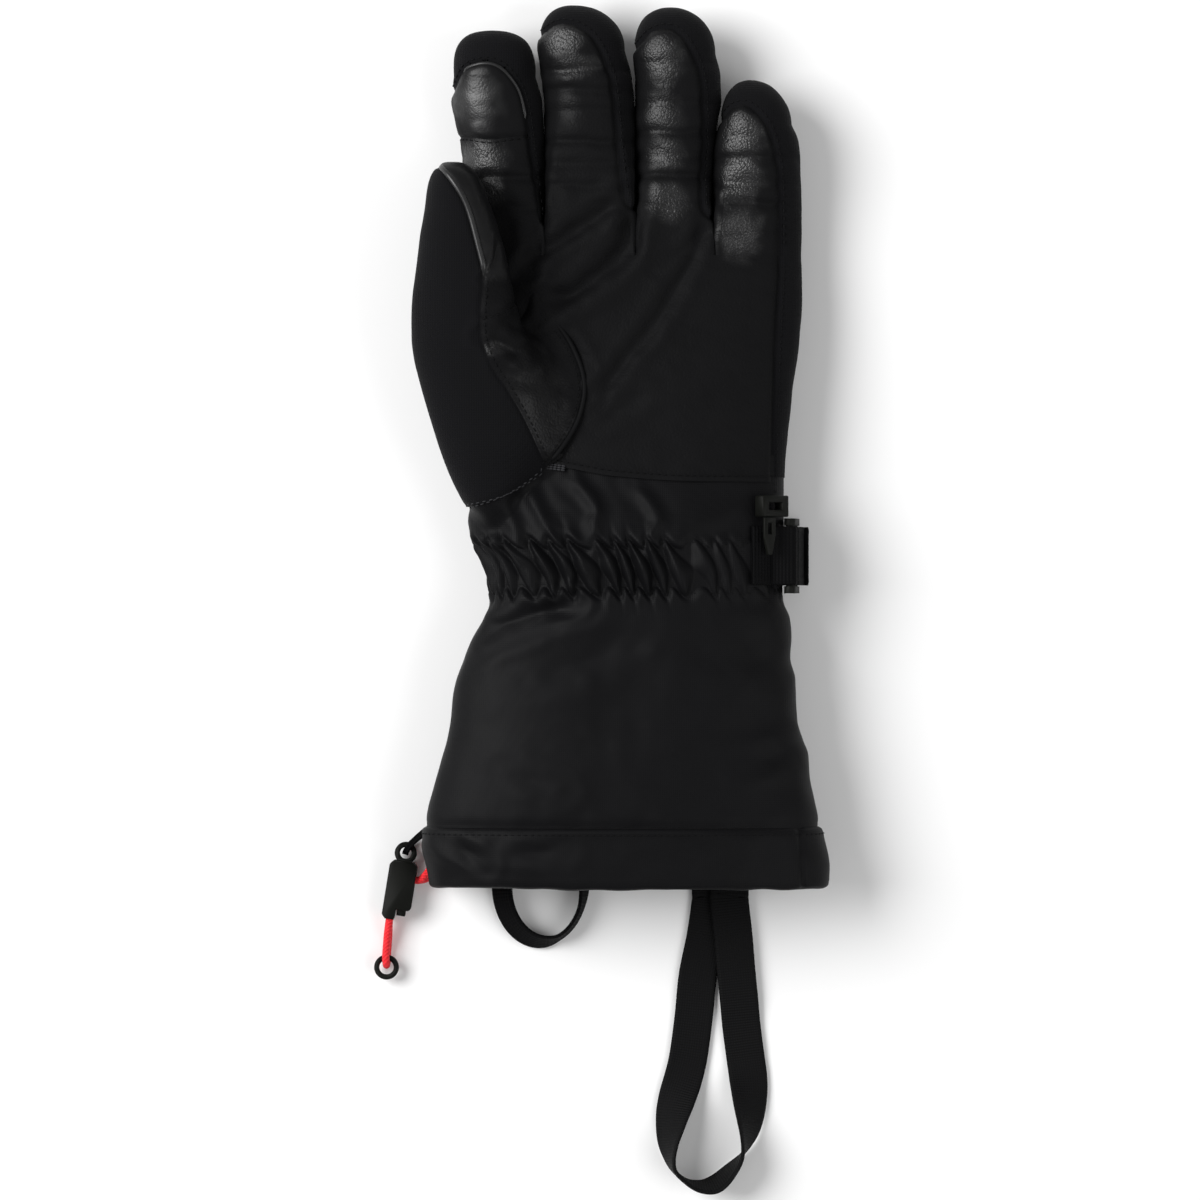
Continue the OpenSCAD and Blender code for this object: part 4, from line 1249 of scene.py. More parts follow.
@dataclass
class Finger:
    """One finger: its outline in plan, leather front, knit back and creases, in mm."""

    name: str
    tip: float
    apex_x: float
    bend_y: float
    left: Profile
    right: Profile
    seam: Line
    creases: Sequence[Pair]
    patch: Optional[Line] = None
    dome: float = 17.0
    thick: float = 27.0
    lift: float = 2.5
    rise: float = 7.0
    blunt: float = 2.0
    root_y: float = 119.0
    morph_y: float = 137.0
    morph: float = 28.0
    outer: Pair = (0.0, 0.0)
    oval: float = 2.25
    box: float = 40.0
    pinch: float = 0.105
    row: float = 0.85
    dome_rows: int = 24
    cols: int = 112
    fine: int = 2001

    def surface(self, trunk: Trunk) -> Skin:
        """The finger's closed skin, from inside the hand to its rounded end.

        Args:
            trunk: the hand that it grows out of.

        Returns:
            The skin.
        """
        start = self.tip - self.dome
        tau = np.linspace(0, 1, self.dome_rows)[1:-1] * np.pi / 2
        dome = start + self.dome * np.sin(tau)
        ys = np.concatenate([np.arange(self.root_y, start, self.row), [start], dome])
        closing = (1 - np.sin(tau) ** self.blunt) ** (1 / self.blunt)
        shrink = np.concatenate([np.ones(len(ys) - len(tau)), closing])[:, None]
        body_y = np.minimum(ys, start)
        left, right = self.left(body_y), self.right(body_y)
        along = np.clip((ys - start) / self.dome, 0, 1)
        cx = mix((left + right) / 2, self.apex_x, 0.6 * along**2)
        low = self.lift + self.rise * (np.maximum(body_y - KNUCKLE_Y, 0) / (self.tip - KNUCKLE_Y)) ** 2
        half = self.thick / (1 + FLAT)
        middle = (low + half * FLAT)[:, None]
        theta = self.angles(half)
        c, s = np.cos(theta)[None], np.sin(theta)[None]
        round_it = reach(c, s, (right - left)[:, None] / 2, half, self.oval)
        share = round_it * s / half
        tip_x = cx[:, None] + round_it * c * shrink
        tip_z = middle + np.where(share > 0, share, share * FLAT) * half * shrink
        box = reach(c, s, 1.0, 1.0, self.box) * np.array([c, s])
        root_x, root_z = self.root(trunk, ys, left, right, box)
        m = smooth((ys - self.morph_y) / self.morph)[:, None]
        deep = np.broadcast_to(ys[:, None], tip_x.shape)
        x, z = mix(root_x, tip_x, m), mix(root_z, tip_z, m)
        under = smooth((middle - z) / 9) * smooth((deep - 130) / 12)
        x = mix(x, cx[:, None], self.pinch * under)
        end = np.array([mix(cx[-1], self.apex_x, 0.2), self.tip, middle[-1, 0]])
        return Skin.grid(np.stack([x, deep, z], -1), cap=end)

    def root(self, trunk: Trunk, ys: Array, left: Array, right: Array, box: Array) -> Tuple[Array, Array]:
        """The finger's share of the hand's own section.

        Args:
            trunk: the hand.
            ys: the rows.
            left: the finger's left edge in each row.
            right: its right edge.
            box: points round a square, from -1 to 1 across and up.

        Returns:
            The points' x and z, row by row.
        """
        u, v = box
        inner = [left + self.outer[0], right - self.outer[1]]
        x = mix(inner[0][:, None], inner[1][:, None], (u + 1) / 2)
        y = np.broadcast_to(np.minimum(ys, KNUCKLE_Y)[:, None], x.shape)
        cx, cz, hw, hh, n = trunk.frame(y)
        z = cz + np.where(v > 0, v * (trunk.top(x, y) - cz), v * (cz - trunk.bottom(x, y)))
        edge = hw * np.maximum(1 - np.minimum(np.abs(z - cz) / hh, 1) ** n, 0) ** (1 / n)
        if self.outer[0]:
            x = np.where(u < -0.5, cx - edge, x)
        if self.outer[1]:
            x = np.where(u > 0.5, cx + edge, x)
        return x, z

    def angles(self, half: float, wide: float = 16.0) -> Array:
        """Directions that space points evenly round the finger, from the right over the palm side.

        Args:
            half: half the finger's thickness in mm.
            wide: half its width.

        Returns:
            One angle for each point.
        """
        t = np.linspace(0, 2 * np.pi, self.fine)
        r = reach(np.cos(t), np.sin(t), wide, half, self.oval)
        at = lengths(np.stack([r * np.cos(t), r * np.sin(t)], 1))
        return np.interp(np.arange(self.cols) / self.cols * at[-1], at, t)

    def middle_z(self, y: Array) -> Array:
        """Height of the finger's middle."""
        out = np.clip((y - KNUCKLE_Y) / (self.tip - KNUCKLE_Y), 0, 1)
        return self.lift + self.rise * out**2 + self.thick * FLAT / (1 + FLAT)

    def front(self, skin: Skin) -> Array:
        """Signed distance in plan from the leather's edge, positive on the leather."""
        over = skin.co[:, 2] - self.middle_z(skin.co[:, 1]) + SEAM_DROP
        return smin(-skin.beside(self.seam), over, SEAM_ROUND)

    def soften(self, skin: Skin) -> Tuple[Skin, Array]:
        """Presses seams, creases and padding into the finger.

        Args:
            skin: the plain finger.

        Returns:
            The worked skin, and the leather's signed distance.
        """
        front = self.front(skin)
        y = skin.co[:, 1]
        upper = smooth(skin.nor[:, 2] * 1.6)
        move = relief(skin, front)
        for at, depth in self.creases:
            line = y - at - 0.9 * noise(skin.co, (7, 50, 50), int(at))
            move -= depth * upper * (hump(line, 1.5) - 0.45 * hump(np.abs(line) - 4.2, 2.6))
            move += 0.35 * depth * (1 - upper) * hump(line, 4.0)
        skin.push(move)
        return skin, front


def relief(skin: Skin, front: Array) -> Array:
    """What the palm and the fingers share: raised leather, sunk seams, wrinkles, padding and palm creases.

    Args:
        skin: the plain surface.
        front: each point's signed distance from the leather's edge.

    Returns:
        How far each point moves along its normal.
    """
    p = skin.co
    leather = smooth(front / 3)
    move = 0.5 * smooth(front / 2.2) - 0.85 * hump(front, 1.0)
    move += leather * (0.14 * noise(p, (6, 2.6, 6), 11) + 0.05 * noise(p, (2.5, 1.6, 3), 12))
    move += 0.35 * noise(p, (12, 13, 12), 13) + 0.1 * noise(p, (4, 5, 4), 14) * (1 - leather)
    for crease in PALM_CREASES:
        move += crease(skin)
    return move


FINGERS = (
    Finger(
        "index", tip=213.5, apex_x=-48.5, bend_y=168.0, outer=(6.0, 0.0), blunt=2.8,
        left=Profile((118, -58.5), (129, -60.5), (140, -59.8), (152, -58.8), (165, -58.8), (172, -59.8),
                     (180, -61.3), (187, -62.8), (193, -63), (197, -62.5)),
        right=Profile((118, -28.2), (129, -28.2), (150, -28.3), (170, -28.4), (187, -29.2), (193, -30.6),
                      (197, -31.8)),
        seam=((-72, 184), (-63.5, 190), (-58, 199), (-48, 201), (-41, 196), (-36, 186), (-32, 160),
              (-29.5, 146), (-27, 141), (-18, 138)),
        creases=((158, 0.9), (147, 0.5)),
        patch=((-80, 174.5), (-60, 174), (-50, 172.2), (-42, 173.2), (-33, 174.2), (-10, 175))),
    Finger(
        "middle", tip=223.5, apex_x=-18.5, bend_y=172.0, morph=52.0, blunt=2.25,
        left=Profile((118, -28.2), (129, -28.2), (150, -28.1), (170, -28), (187, -28), (200, -29.4),
                     (207, -30.6)),
        right=Profile((118, 6), (129, 6), (150, 5.9), (176, 5.8), (187, 5.2), (195, 4.4), (207, 1.8)),
        seam=((-44, 204), (-30, 212), (-24, 215.5), (-17, 215), (-10, 210), (-5, 200), (-2.5, 190),
              (-0.5, 166), (1, 154), (4, 147.5), (14, 145)),
        creases=((198.5, 0.75), (191, 0.6), (183, 0.35), (171.5, 0.8), (163, 0.4), (155, 0.5))),
    Finger(
        "ring", tip=222.6, apex_x=17.0, bend_y=170.0, blunt=2.2,
        left=Profile((118, 6), (129, 6), (150, 6.1), (176, 6.1), (187, 6.4), (195, 6.2), (205, 5.2)),
        right=Profile((118, 36), (129, 35.6), (143, 35), (154, 34.6), (170, 35.4), (180, 36.8), (188, 38.2),
                      (196, 38), (205, 35.6)),
        seam=((-6, 198), (7, 208.5), (12, 213), (20, 213.5), (26, 206.5), (30.5, 194), (31.5, 173),
              (30.5, 152), (32.5, 144.5), (44, 140)),
        creases=((201, 0.25), (186, 0.45), (175, 0.7), (166, 0.3), (158.5, 0.75), (150, 0.3))),
    Finger(
        "little", tip=195.5, apex_x=47.5, bend_y=161.0, outer=(0.0, 6.0),
        left=Profile((118, 36), (129, 35.6), (143, 35.2), (154, 34.8), (170, 35.7), (178.5, 37.4)),
        right=Profile((118, 68), (129, 68), (150, 68), (165, 67.6), (172, 67), (178.5, 64.6)),
        seam=((24, 168), (36.5, 179.5), (41, 184), (46.5, 185.5), (52, 181.5), (56, 175), (59, 162),
              (59.6, 145), (59.6, 126), (59.4, 112)),
        creases=((173, 0.2), (165.5, 0.6), (156, 0.4), (148.5, 0.65), (139, 0.35))),
)

# Places polished partly by wear and partly as painted sheen where the lamp's highlights fall: the middle's x
# and y, the reach across and along, in mm, and how far polished
POLISH_AND_SHEEN_PADS = (
    (-54.5, 187.5, 10.5, 13, 1.0), (-52, 166, 10, 7.5, 1.0), (-48, 155, 5.5, 9, 0.9),
    (-22, 210, 9.5, 7.5, 0.85), (-16, 199.5, 9.5, 5.5, 0.65), (-19, 184, 5, 8, 0.12),
    (16, 203, 9.5, 11, 0.8), (15.5, 182, 8.5, 9, 0.6), (17, 166, 7.5, 7.5, 0.65), (18.5, 149.5, 8, 8.5, 0.75),
    (45, 174.5, 10.5, 9.5, 1.0), (45.5, 158, 9.5, 11, 1.0), (44.5, 137.5, 9.5, 12, 0.95),
    (-46, 93, 6, 3, 0.5), (-30, 70, 13, 26, 0.3),
)

PALM_CREASES = (
    Crease(((35, 146), (30, 134), (24, 122), (14, 105), (4, 92), (-9, 75)), 1.7, 2.4, 0.25),
    Crease(((5.8, 152), (4.5, 140), (2.8, 133), (-5.7, 123.5), (-17, 115), (-31, 109)), 3.2, 3.2, 0.3),
    Crease(((3, 151), (-17, 138), (-26, 132), (-36, 123.5)), 2.2, 2.6, 0.3),
    Crease(((-11, 65.5), (2.5, 72.5), (14, 80)), 0.6, 2.6),
    Crease(((33, 141), (24, 131), (14, 124)), 0.7, 2.0, 0.3),
    Crease(((-28, 150), (-32, 132), (-37, 118)), 2.4, 3.0, 0.3),
    Crease(((-22, 101), (-17, 94), (-12.5, 86)), 1.2, 2.0, 0.3),
)


@dataclass
class Hand(Assembly):
    """Palm, back and fingers."""

    right_seam: Line = ((59.6, 150), (59.6, 121), (58, 91), (57, 46), (57, 20))
    palm_hem: Profile = Profile((-70, 52), (-27, 50.2), (-2, 46.2), (26, 44.4), (70, 44.2))
    back_hem: float = 46.0
    rows: Tuple[float, float, float] = (41.0, 137.0, 0.9)
    cols: int = 330
    collar: float = 1.5
    cut_below: float = 11.0
    knuckle_end: float = 150.0
    palm_sewn_to: float = 127.0
    finger_sewn_from: float = 133.0
    sewn_gap: float = 0.5
    tack_x: Pair = (-27.5, -20.0)
    tack_rows: Tuple[float, ...] = (-0.5, 0.3, 1.1)
    hem_stitch: Stitch = Stitch(thick=0.4)
    tack_stitch: Stitch = Stitch(1.4, 1.9, 0.9, Thread.GREY_PAINTED_GLINT)

    def build(self) -> None:
        """Builds the palm, the back and every finger."""
        self.palm()
        for finger in FINGERS:
            self.finger(finger)

    def palm(self) -> None:
        """The palm's leather, the knit back and their stitches."""
        points, _ = self.trunk.rings(np.arange(*self.rows), self.cols)
        skin = Skin.grid(points)
        gap, side = to_line(skin.co[:, :2], np.array(self.right_seam, float))
        middle = self.trunk.frame(skin.co[:, 1])[1]
        front = smin(-gap * side, skin.co[:, 2] - middle + SEAM_DROP, SEAM_ROUND)
        skin.push(relief(skin, front))
        palm, back, seam = skin.split(front)
        palm = palm.above(KNUCKLE_Y - palm.co[:, 1])
        back = back.above(KNUCKLE_Y - back.co[:, 1])
        hem = palm.co[:, 1] - self.palm_hem(palm.co[:, 0])
        palm.push(0.35 * hump(hem - 1.0, 1.6) * smooth(hem + 2))
        palm, _, edge = palm.split(palm.co[:, 1] - self.palm_hem(palm.co[:, 0]))
        back = back.above(back.co[:, 1] - self.back_hem)
        self.bench.piece("palm", palm.walled(PANEL_WALL), Stuff.LEATHER, "hand", ["palm_leather"])
        self.bench.piece("hand_back", back.walled(KNIT_WALL), Stuff.SOFTSHELL, "hand", ["back_softshell"])
        side = [evened(r) for r in seam[:2] if r[:, 0].mean() > 40]
        lines = [shifted(r, 1.9 if r[0, 1] > r[-1, 1] else -1.9, 0.95) for r in side]
        hems = [evened(r) for r in edge[:1]]
        lines += [shifted(r, 2.0 if r[0, 0] < r[-1, 0] else -2.0) for r in hems]
        lines = [r[r[:, 1] < self.palm_sewn_to] for r in lines]
        self.stitcher.sew("palm_stitches", lines, "hand", stitch=self.hem_stitch)
        left, right = self.tack_x
        tack = [r[(r[:, 0] > left) & (r[:, 0] < right)] for r in hems]
        tack = [shifted(r, aside, 0.5) for r in tack for aside in self.tack_rows]
        self.stitcher.sew("bartack", tack, "hand", stitch=self.tack_stitch)

    def finger(self, finger: Finger) -> None:
        """One finger's four pieces and their stitches.

        Args:
            finger: the finger.
        """
        skin, front = finger.soften(finger.surface(self.trunk))
        name = finger.name
        base, tip = name + "_base", name + "_tip"
        index = name == "index"
        # The thumb lies across the index finger's lower half, which is therefore one body with the hand
        holder = "hand" if index else base
        mid_x = float((finger.left(KNUCKLE_Y) + finger.right(KNUCKLE_Y)) / 2)
        cut = finger.bend_y - self.cut_below
        knuckle = None if index else Bend("hand", base, (mid_x, KNUCKLE_Y, 20), (mid_x, self.knuckle_end, 20))
        curl = Bend(holder, tip, (mid_x, finger.bend_y - 10, 30), (mid_x, finger.bend_y + 11, 30))
        leather, knit, seams = skin.split(front)
        for part, stuff, side in ((leather, Stuff.LEATHER, "_front"), (knit, Stuff.SOFTSHELL, "_back")):
            low_part, high_part = part.split(cut - part.co[:, 1])[:2]
            ends = ["_" + stuff.value] + ["_liner"] * (stuff is Stuff.LEATHER)
            shown, collar, _ = low_part.split(low_part.co[:, 1] - KNUCKLE_Y)
            collar.co = collar.co - collar.nor * self.collar
            low_part = shown.joined(collar)
            self.bench.piece(base + side, low_part.walled(FINGER_WALL), stuff, holder,
                             [base + end for end in ends], knuckle)
            if finger.patch and stuff is Stuff.LEATHER:
                high_part = self.patch(finger, high_part, curl)
            self.bench.piece(tip + side, high_part.walled(FINGER_WALL), stuff, tip,
                             [tip + end for end in ends], curl)
        run = evened(seams[0])
        run = run if run[0, 1] > run[-1, 1] or run[0, 0] < run[-1, 0] else run[::-1]
        line = shifted(run, 1.7, 0.95)
        upper = line[(line[:, 5] > 0.15)]
        self.stitcher.sew(tip + "_stitches", [upper[upper[:, 1] > cut + self.sewn_gap]], tip, curl)
        lower = upper[(upper[:, 1] < cut - self.sewn_gap) & (upper[:, 1] > self.finger_sewn_from)]
        self.stitcher.sew(base + "_stitches", [lower], holder, knuckle)

    def patch(self, finger: Finger, skin: Skin, curl: Bend) -> Skin:
        """The index fingertip's own smooth patch, with a piped arch.

        Args:
            finger: the index finger.
            skin: its tip's leather.
            curl: how the tip bends.

        Returns:
            The leather below the patch.
        """
        above = skin.beside(finger.patch)
        skin.push(-0.7 * hump(above, 0.9))
        patch, rest, seam = skin.split(above)
        patch.push(np.full(len(patch.co), 0.25))
        patch = patch.walled(PANEL_WALL)
        patch.grain = 0.3
        self.bench.piece(
            "index_fingertip_patch", patch, Stuff.LEATHER, "index_tip", ["index_tip_patch"], curl)
        line = evened(seam[0])
        line = line[line[:, 5] > 0.1]
        rows = [shifted(line, 1.2, 0.75), shifted(line, -1.2, 0.5)]
        self.stitcher.sew("patch_stitches", rows, "index_tip", curl)
        arch = evened(skin.split(finger.front(skin) - 0.7)[2][0])
        arch = arch[(arch[:, 5] > 0.12) & (arch[:, 1] > 176.5)]
        # The arch's piping is polished to carry a painted sheen along its edge
        self.bench.piece("patch_piping", piped(arch, 1.6, polish_and_sheen=0.8), Stuff.LEATHER, "index_tip", (), curl)
        return rest


@dataclass
class Thumb(Assembly):
    """The thumb: knit outside, leather strip and teardrop panel, sewn to the palm along an arc."""

    left: Profile = Profile(
        (20, -50), (30, -54.5), (37.5, -58.5), (45, -62.3), (52.5, -65.4), (60, -67.9), (67.5, -70.2),
        (75, -72.4), (82.5, -74.4), (90, -76.2), (97.5, -77.1), (105, -77.2), (112.5, -76.9), (120, -76.1),
        (135, -74.1), (142, -72.7), (148, -71.8), (170, -70))
    right: Profile = Profile(
        (20, -44), (35, -38), (45, -34), (60, -31), (75, -31), (90, -34), (105, -38), (113, -40),
        (120, -41.8), (127, -43.2), (140, -46.6), (148, -49.6), (158, -53), (170, -57))
    height: Profile = Profile(
        (20, 24), (35, 30), (45, 33), (55, 35.5), (70, 37.8), (90, 40), (110, 41.5), (150, 41.5))
    tall: Profile = Profile((20, 9), (35, 11.2), (55, 12.2), (90, 13.2), (150, 13.2))
    arc: Line = (
        (-24, 126), (-30, 113), (-19, 97), (-13.5, 82.5), (-14.5, 71), (-19, 61), (-27, 50.5), (-30, 47),
        (-43, 38.8), (-58, 34.8), (-75, 33))
    knit: Line = (
        (-74, 168), (-68.5, 162), (-63, 155.5), (-57.5, 146), (-52.8, 129), (-51, 120), (-52, 105),
        (-51, 95.5), (-47, 85.5), (-42.5, 79), (-35.5, 67), (-27, 49), (-20, 38))
    fold: Line = (
        (-56, 104), (-51.7, 104.8), (-47.6, 106.1), (-42.7, 108), (-39, 111.4), (-35, 118))
    creases: Sequence[Crease] = (
        Crease(((-50, 98), (-42, 93.5), (-33, 90)), 1.6, 2.2, 0.6),
        Crease(((-36, 124), (-37, 112), (-43, 99)), 1.5, 2.4, 0.5),
        Crease(((-47, 104), (-39, 100), (-30, 101)), 0.8, 2.2, 0.5),
        Crease(((-42, 84), (-30, 80), (-20, 81)), 0.5, 2.6, 0.5),
        Crease(((-45.8, 134), (-46.8, 127), (-48.4, 122.5), (-51.5, 118.6)), 0.9, 0.9, 0.4))
    bend: Bend = Bend("hand", "thumb", (-30, 112, 40), (-51.5, 133.5, 40))
    tip: float = 162.0
    dome: float = 14.0
    base: float = 34.0
    taper: float = 14.0
    blunt: float = 3.0
    square: float = 2.3
    room: Sequence[Pair] = ((-86, 2), (22, 168), (-5, 62))
    step: float = 0.8
    far: float = 30.0
    strip_y: float = 118.0
    zigzag: Stitch = Stitch(2.1, 1.9, 0.6, Thread.GREY_PAINTED_GLINT)

    def __post_init__(self) -> None:
        """Works out how the thumb grows out of the hand."""
        self.corner, self.own, self.hand, self.k = self.fields()
        self.both = smin(self.own, self.hand, self.k)

    def level(self, x: Array, y: Array, z: Array) -> Array:
        """0 on the thumb's own surface, negative inside.

        Args:
            x: places across the glove in mm.
            y: places along it.
            z: heights above the floor.

        Returns:
            One value for each place.
        """
        left, right = self.left(y), self.right(y)
        flat = ((np.abs(x - (left + right) / 2) / ((right - left) / 2)) ** self.square
                + (np.abs(z - self.height(y)) / self.tall(y)) ** self.square) ** (1 / self.square)
        out = np.maximum(y - (self.tip - self.dome), 0) / self.dome
        back = np.maximum(self.base - y, 0) / self.taper
        return (np.sqrt(flat**2 + back**2) ** self.blunt + out**self.blunt) ** (1 / self.blunt) - 1

    def fields(self) -> Tuple[Array, Array, Array, Array]:
        """Distances from thumb and hand on a grid, with the grid's corner.

        Returns:
            The corner, the thumb's distance, the hand's, and the rounding between them.
        """
        axes = [np.arange(a, b, self.step) for a, b in self.room]
        x, y, z = np.meshgrid(*axes, indexing="ij")
        out = []
        for level in (self.level, self.trunk.level):
            f = level(x, y, z)
            slope = np.sqrt(sum(g * g for g in np.gradient(f, self.step)))
            out.append(np.clip(f / np.maximum(slope, 0.01), -self.far, self.far))
        out[1] = out[1] + 3 * np.maximum(y - 122, 0)
        k = np.minimum(mix(24.0, 1.0, smooth((y - 82) / 34)), mix(4.0, 24.0, smooth((y - 36) / 24)))
        return np.array([a[0] for a in axes]), out[0], out[1], k

    def sample(self, values: Array, p: Array) -> Array:
        """A grid's value at points.

        Args:
            values: the grid's values.
            p: points in mm.

        Returns:
            One value for each point.
        """
        q = np.clip((p - self.corner) / self.step, 0, np.array(values.shape) - 1.001)
        cell = q.astype(int)
        total = np.zeros(len(p))
        for bit, share in corners(q - cell):
            at = cell + bit
            total += values[at[:, 0], at[:, 1], at[:, 2]] * share
        return total

    def surface(self) -> Tuple[Skin, Array]:
        """The thumb blended into the hand.

        Returns:
            The thumb's skin, and a value that is positive on what belongs to it.
        """
        both = self.both
        grid = openvdb.FloatGrid(self.far)
        grid.copyFromArray(both.astype(np.float32))
        points, quads = grid.convertToQuads(0.0)
        co = self.corner + np.asarray(points, float) * self.step
        quads = np.asarray(quads, np.int64)
        tri = np.vstack([quads[:, [0, 1, 2]], quads[:, [0, 2, 3]]])
        slopes = np.gradient(both, self.step)
        for _ in range(3):
            slope = np.stack([self.sample(s, co) for s in slopes], 1)
            co = co - slope * (self.sample(both, co) / np.maximum(np.sum(slope**2, 1), 0.2))[:, None]
        skin = Skin(co, tri).renormal()
        if np.sum(skin.nor * slope) < 0:
            skin = Skin(co, tri[:, ::-1]).renormal()
        plan = -skin.beside(self.arc)
        near = self.sample(self.hand - self.own + 0.92 * self.k, skin.co)
        drop = np.minimum(np.minimum(skin.nor[:, 2] * 20 - 6, skin.co[:, 0] + 58), 116 - skin.co[:, 1])
        return skin, np.minimum(plan, np.maximum(near, drop))

    def swell(self, skin: Skin, under: float) -> None:
        """Lifts the wrist's cloth to just under the thumb, where the thumb grows out of it.

        Args:
            skin: the cloth's plain surface.
            under: how far below the thumb's surface it stays.
        """
        near = (skin.co[:, 0] < 4) & (skin.co[:, 1] > 22.5)
        out = skin.nor[near]
        for _ in range(10):
            short = -under - self.sample(self.both, skin.co[near])
            short *= smooth((skin.co[near, 1] - 23) / 5)
            skin.co[near] = skin.co[near] + out * np.clip(short, 0, 3)[:, None]
        skin.renormal()

    def build(self) -> None:
        """Builds the thumb's panels, piping and stitches."""
        skin, mine = self.surface()
        leather = skin.beside(self.knit)
        p = skin.co
        move = 0.6 - 0.5 * hump(mine, 1.4)
        edge = mix(0.1, 0.4, smooth((p[:, 1] - 114) / 8))
        move += edge * smooth(leather / 2) - 0.6 * hump(leather, 0.9)
        move -= 0.6 * hump(skin.beside(self.fold), 0.9) * smooth(leather)
        for crease in self.creases:
            move += crease(skin)
        move += smooth(leather / 3) * (0.14 * noise(p, (4, 4, 4), 31) + 0.05 * noise(p, (2, 2, 2), 32))
        move += 0.3 * noise(p, (15, 18, 15), 33)
        skin.push(move)
        skin, _, arcs = skin.split(mine)
        hide, knit, seams = skin.split(skin.beside(self.knit))
        folds = [r for r in hide.split(hide.beside(self.fold))[2] if r[:, 5].mean() > 0.1]
        self.bench.piece("thumb_panels", hide.walled(PANEL_WALL), Stuff.LEATHER, "thumb",
                         ["thumb_leather", "thumb_liner"], self.bend)
        self.bench.piece("thumb_back", knit.walled(KNIT_WALL), Stuff.SOFTSHELL, "thumb",
                         ["thumb_softshell"], self.bend)
        self.trim(arcs, seams, folds)

    def trim(self, arcs: List[Array], seams: List[Array], folds: List[Array]) -> None:
        """Piping on the arc and the strip, and the stitches.

        Args:
            arcs: the thumb's edge.
            seams: the leather's edge.
            folds: the seam between the strip and the panel below it.
        """
        edge = evened(max(arcs, key=len))
        arc = edge[(edge[:, 5] > 0.35) & (edge[:, 1] < 112) & (edge[:, 0] > -28)]
        arc = arc[np.argsort(arc[:, 1])]
        self.bench.piece("thumb_arc_piping", piped(arc, 1.8), Stuff.LEATHER, "hand")
        self.stitcher.sew("thumb_arc_stitches", [shifted(arc, 2.2, 0.5)], "hand")
        low = edge[(edge[:, 5] > 0.2) & (edge[:, 0] < -29) & (edge[:, 1] < 50)]
        low = evened(low[np.argsort(low[:, 0])], 1.3)
        odd = np.arange(len(low))[:, None] % 2 == 1
        zigzag = np.where(odd, shifted(low, 0.9, 0.3), shifted(low, -0.8, -0.3))
        self.stitcher.sew("thumb_hem_stitches", [zigzag], "hand", stitch=self.zigzag)
        side = evened(max(seams, key=len))
        side = side[side[:, 5] > 0.1]
        side = side[np.argsort(-side[:, 1])]
        # The strip's piping is fully polished, a painted sheen along the strip's edge
        cord = piped(shifted(side[side[:, 1] > self.strip_y], 0.7, 0.0), 2.4, 0.3, 1.0)
        self.bench.piece("thumb_strip_piping", cord, Stuff.LEATHER, "thumb", (), self.bend)
        rows = [shifted(side[side[:, 1] < self.strip_y], 1.7, 0.75)]
        for run in folds[:1]:
            run = evened(run)
            rows.append(shifted(run[(run[:, 5] > 0.2) & (run[:, 0] > -51)], 1.0, 0.5))
        self.stitcher.sew("thumb_stitches", rows, "thumb", self.bend)


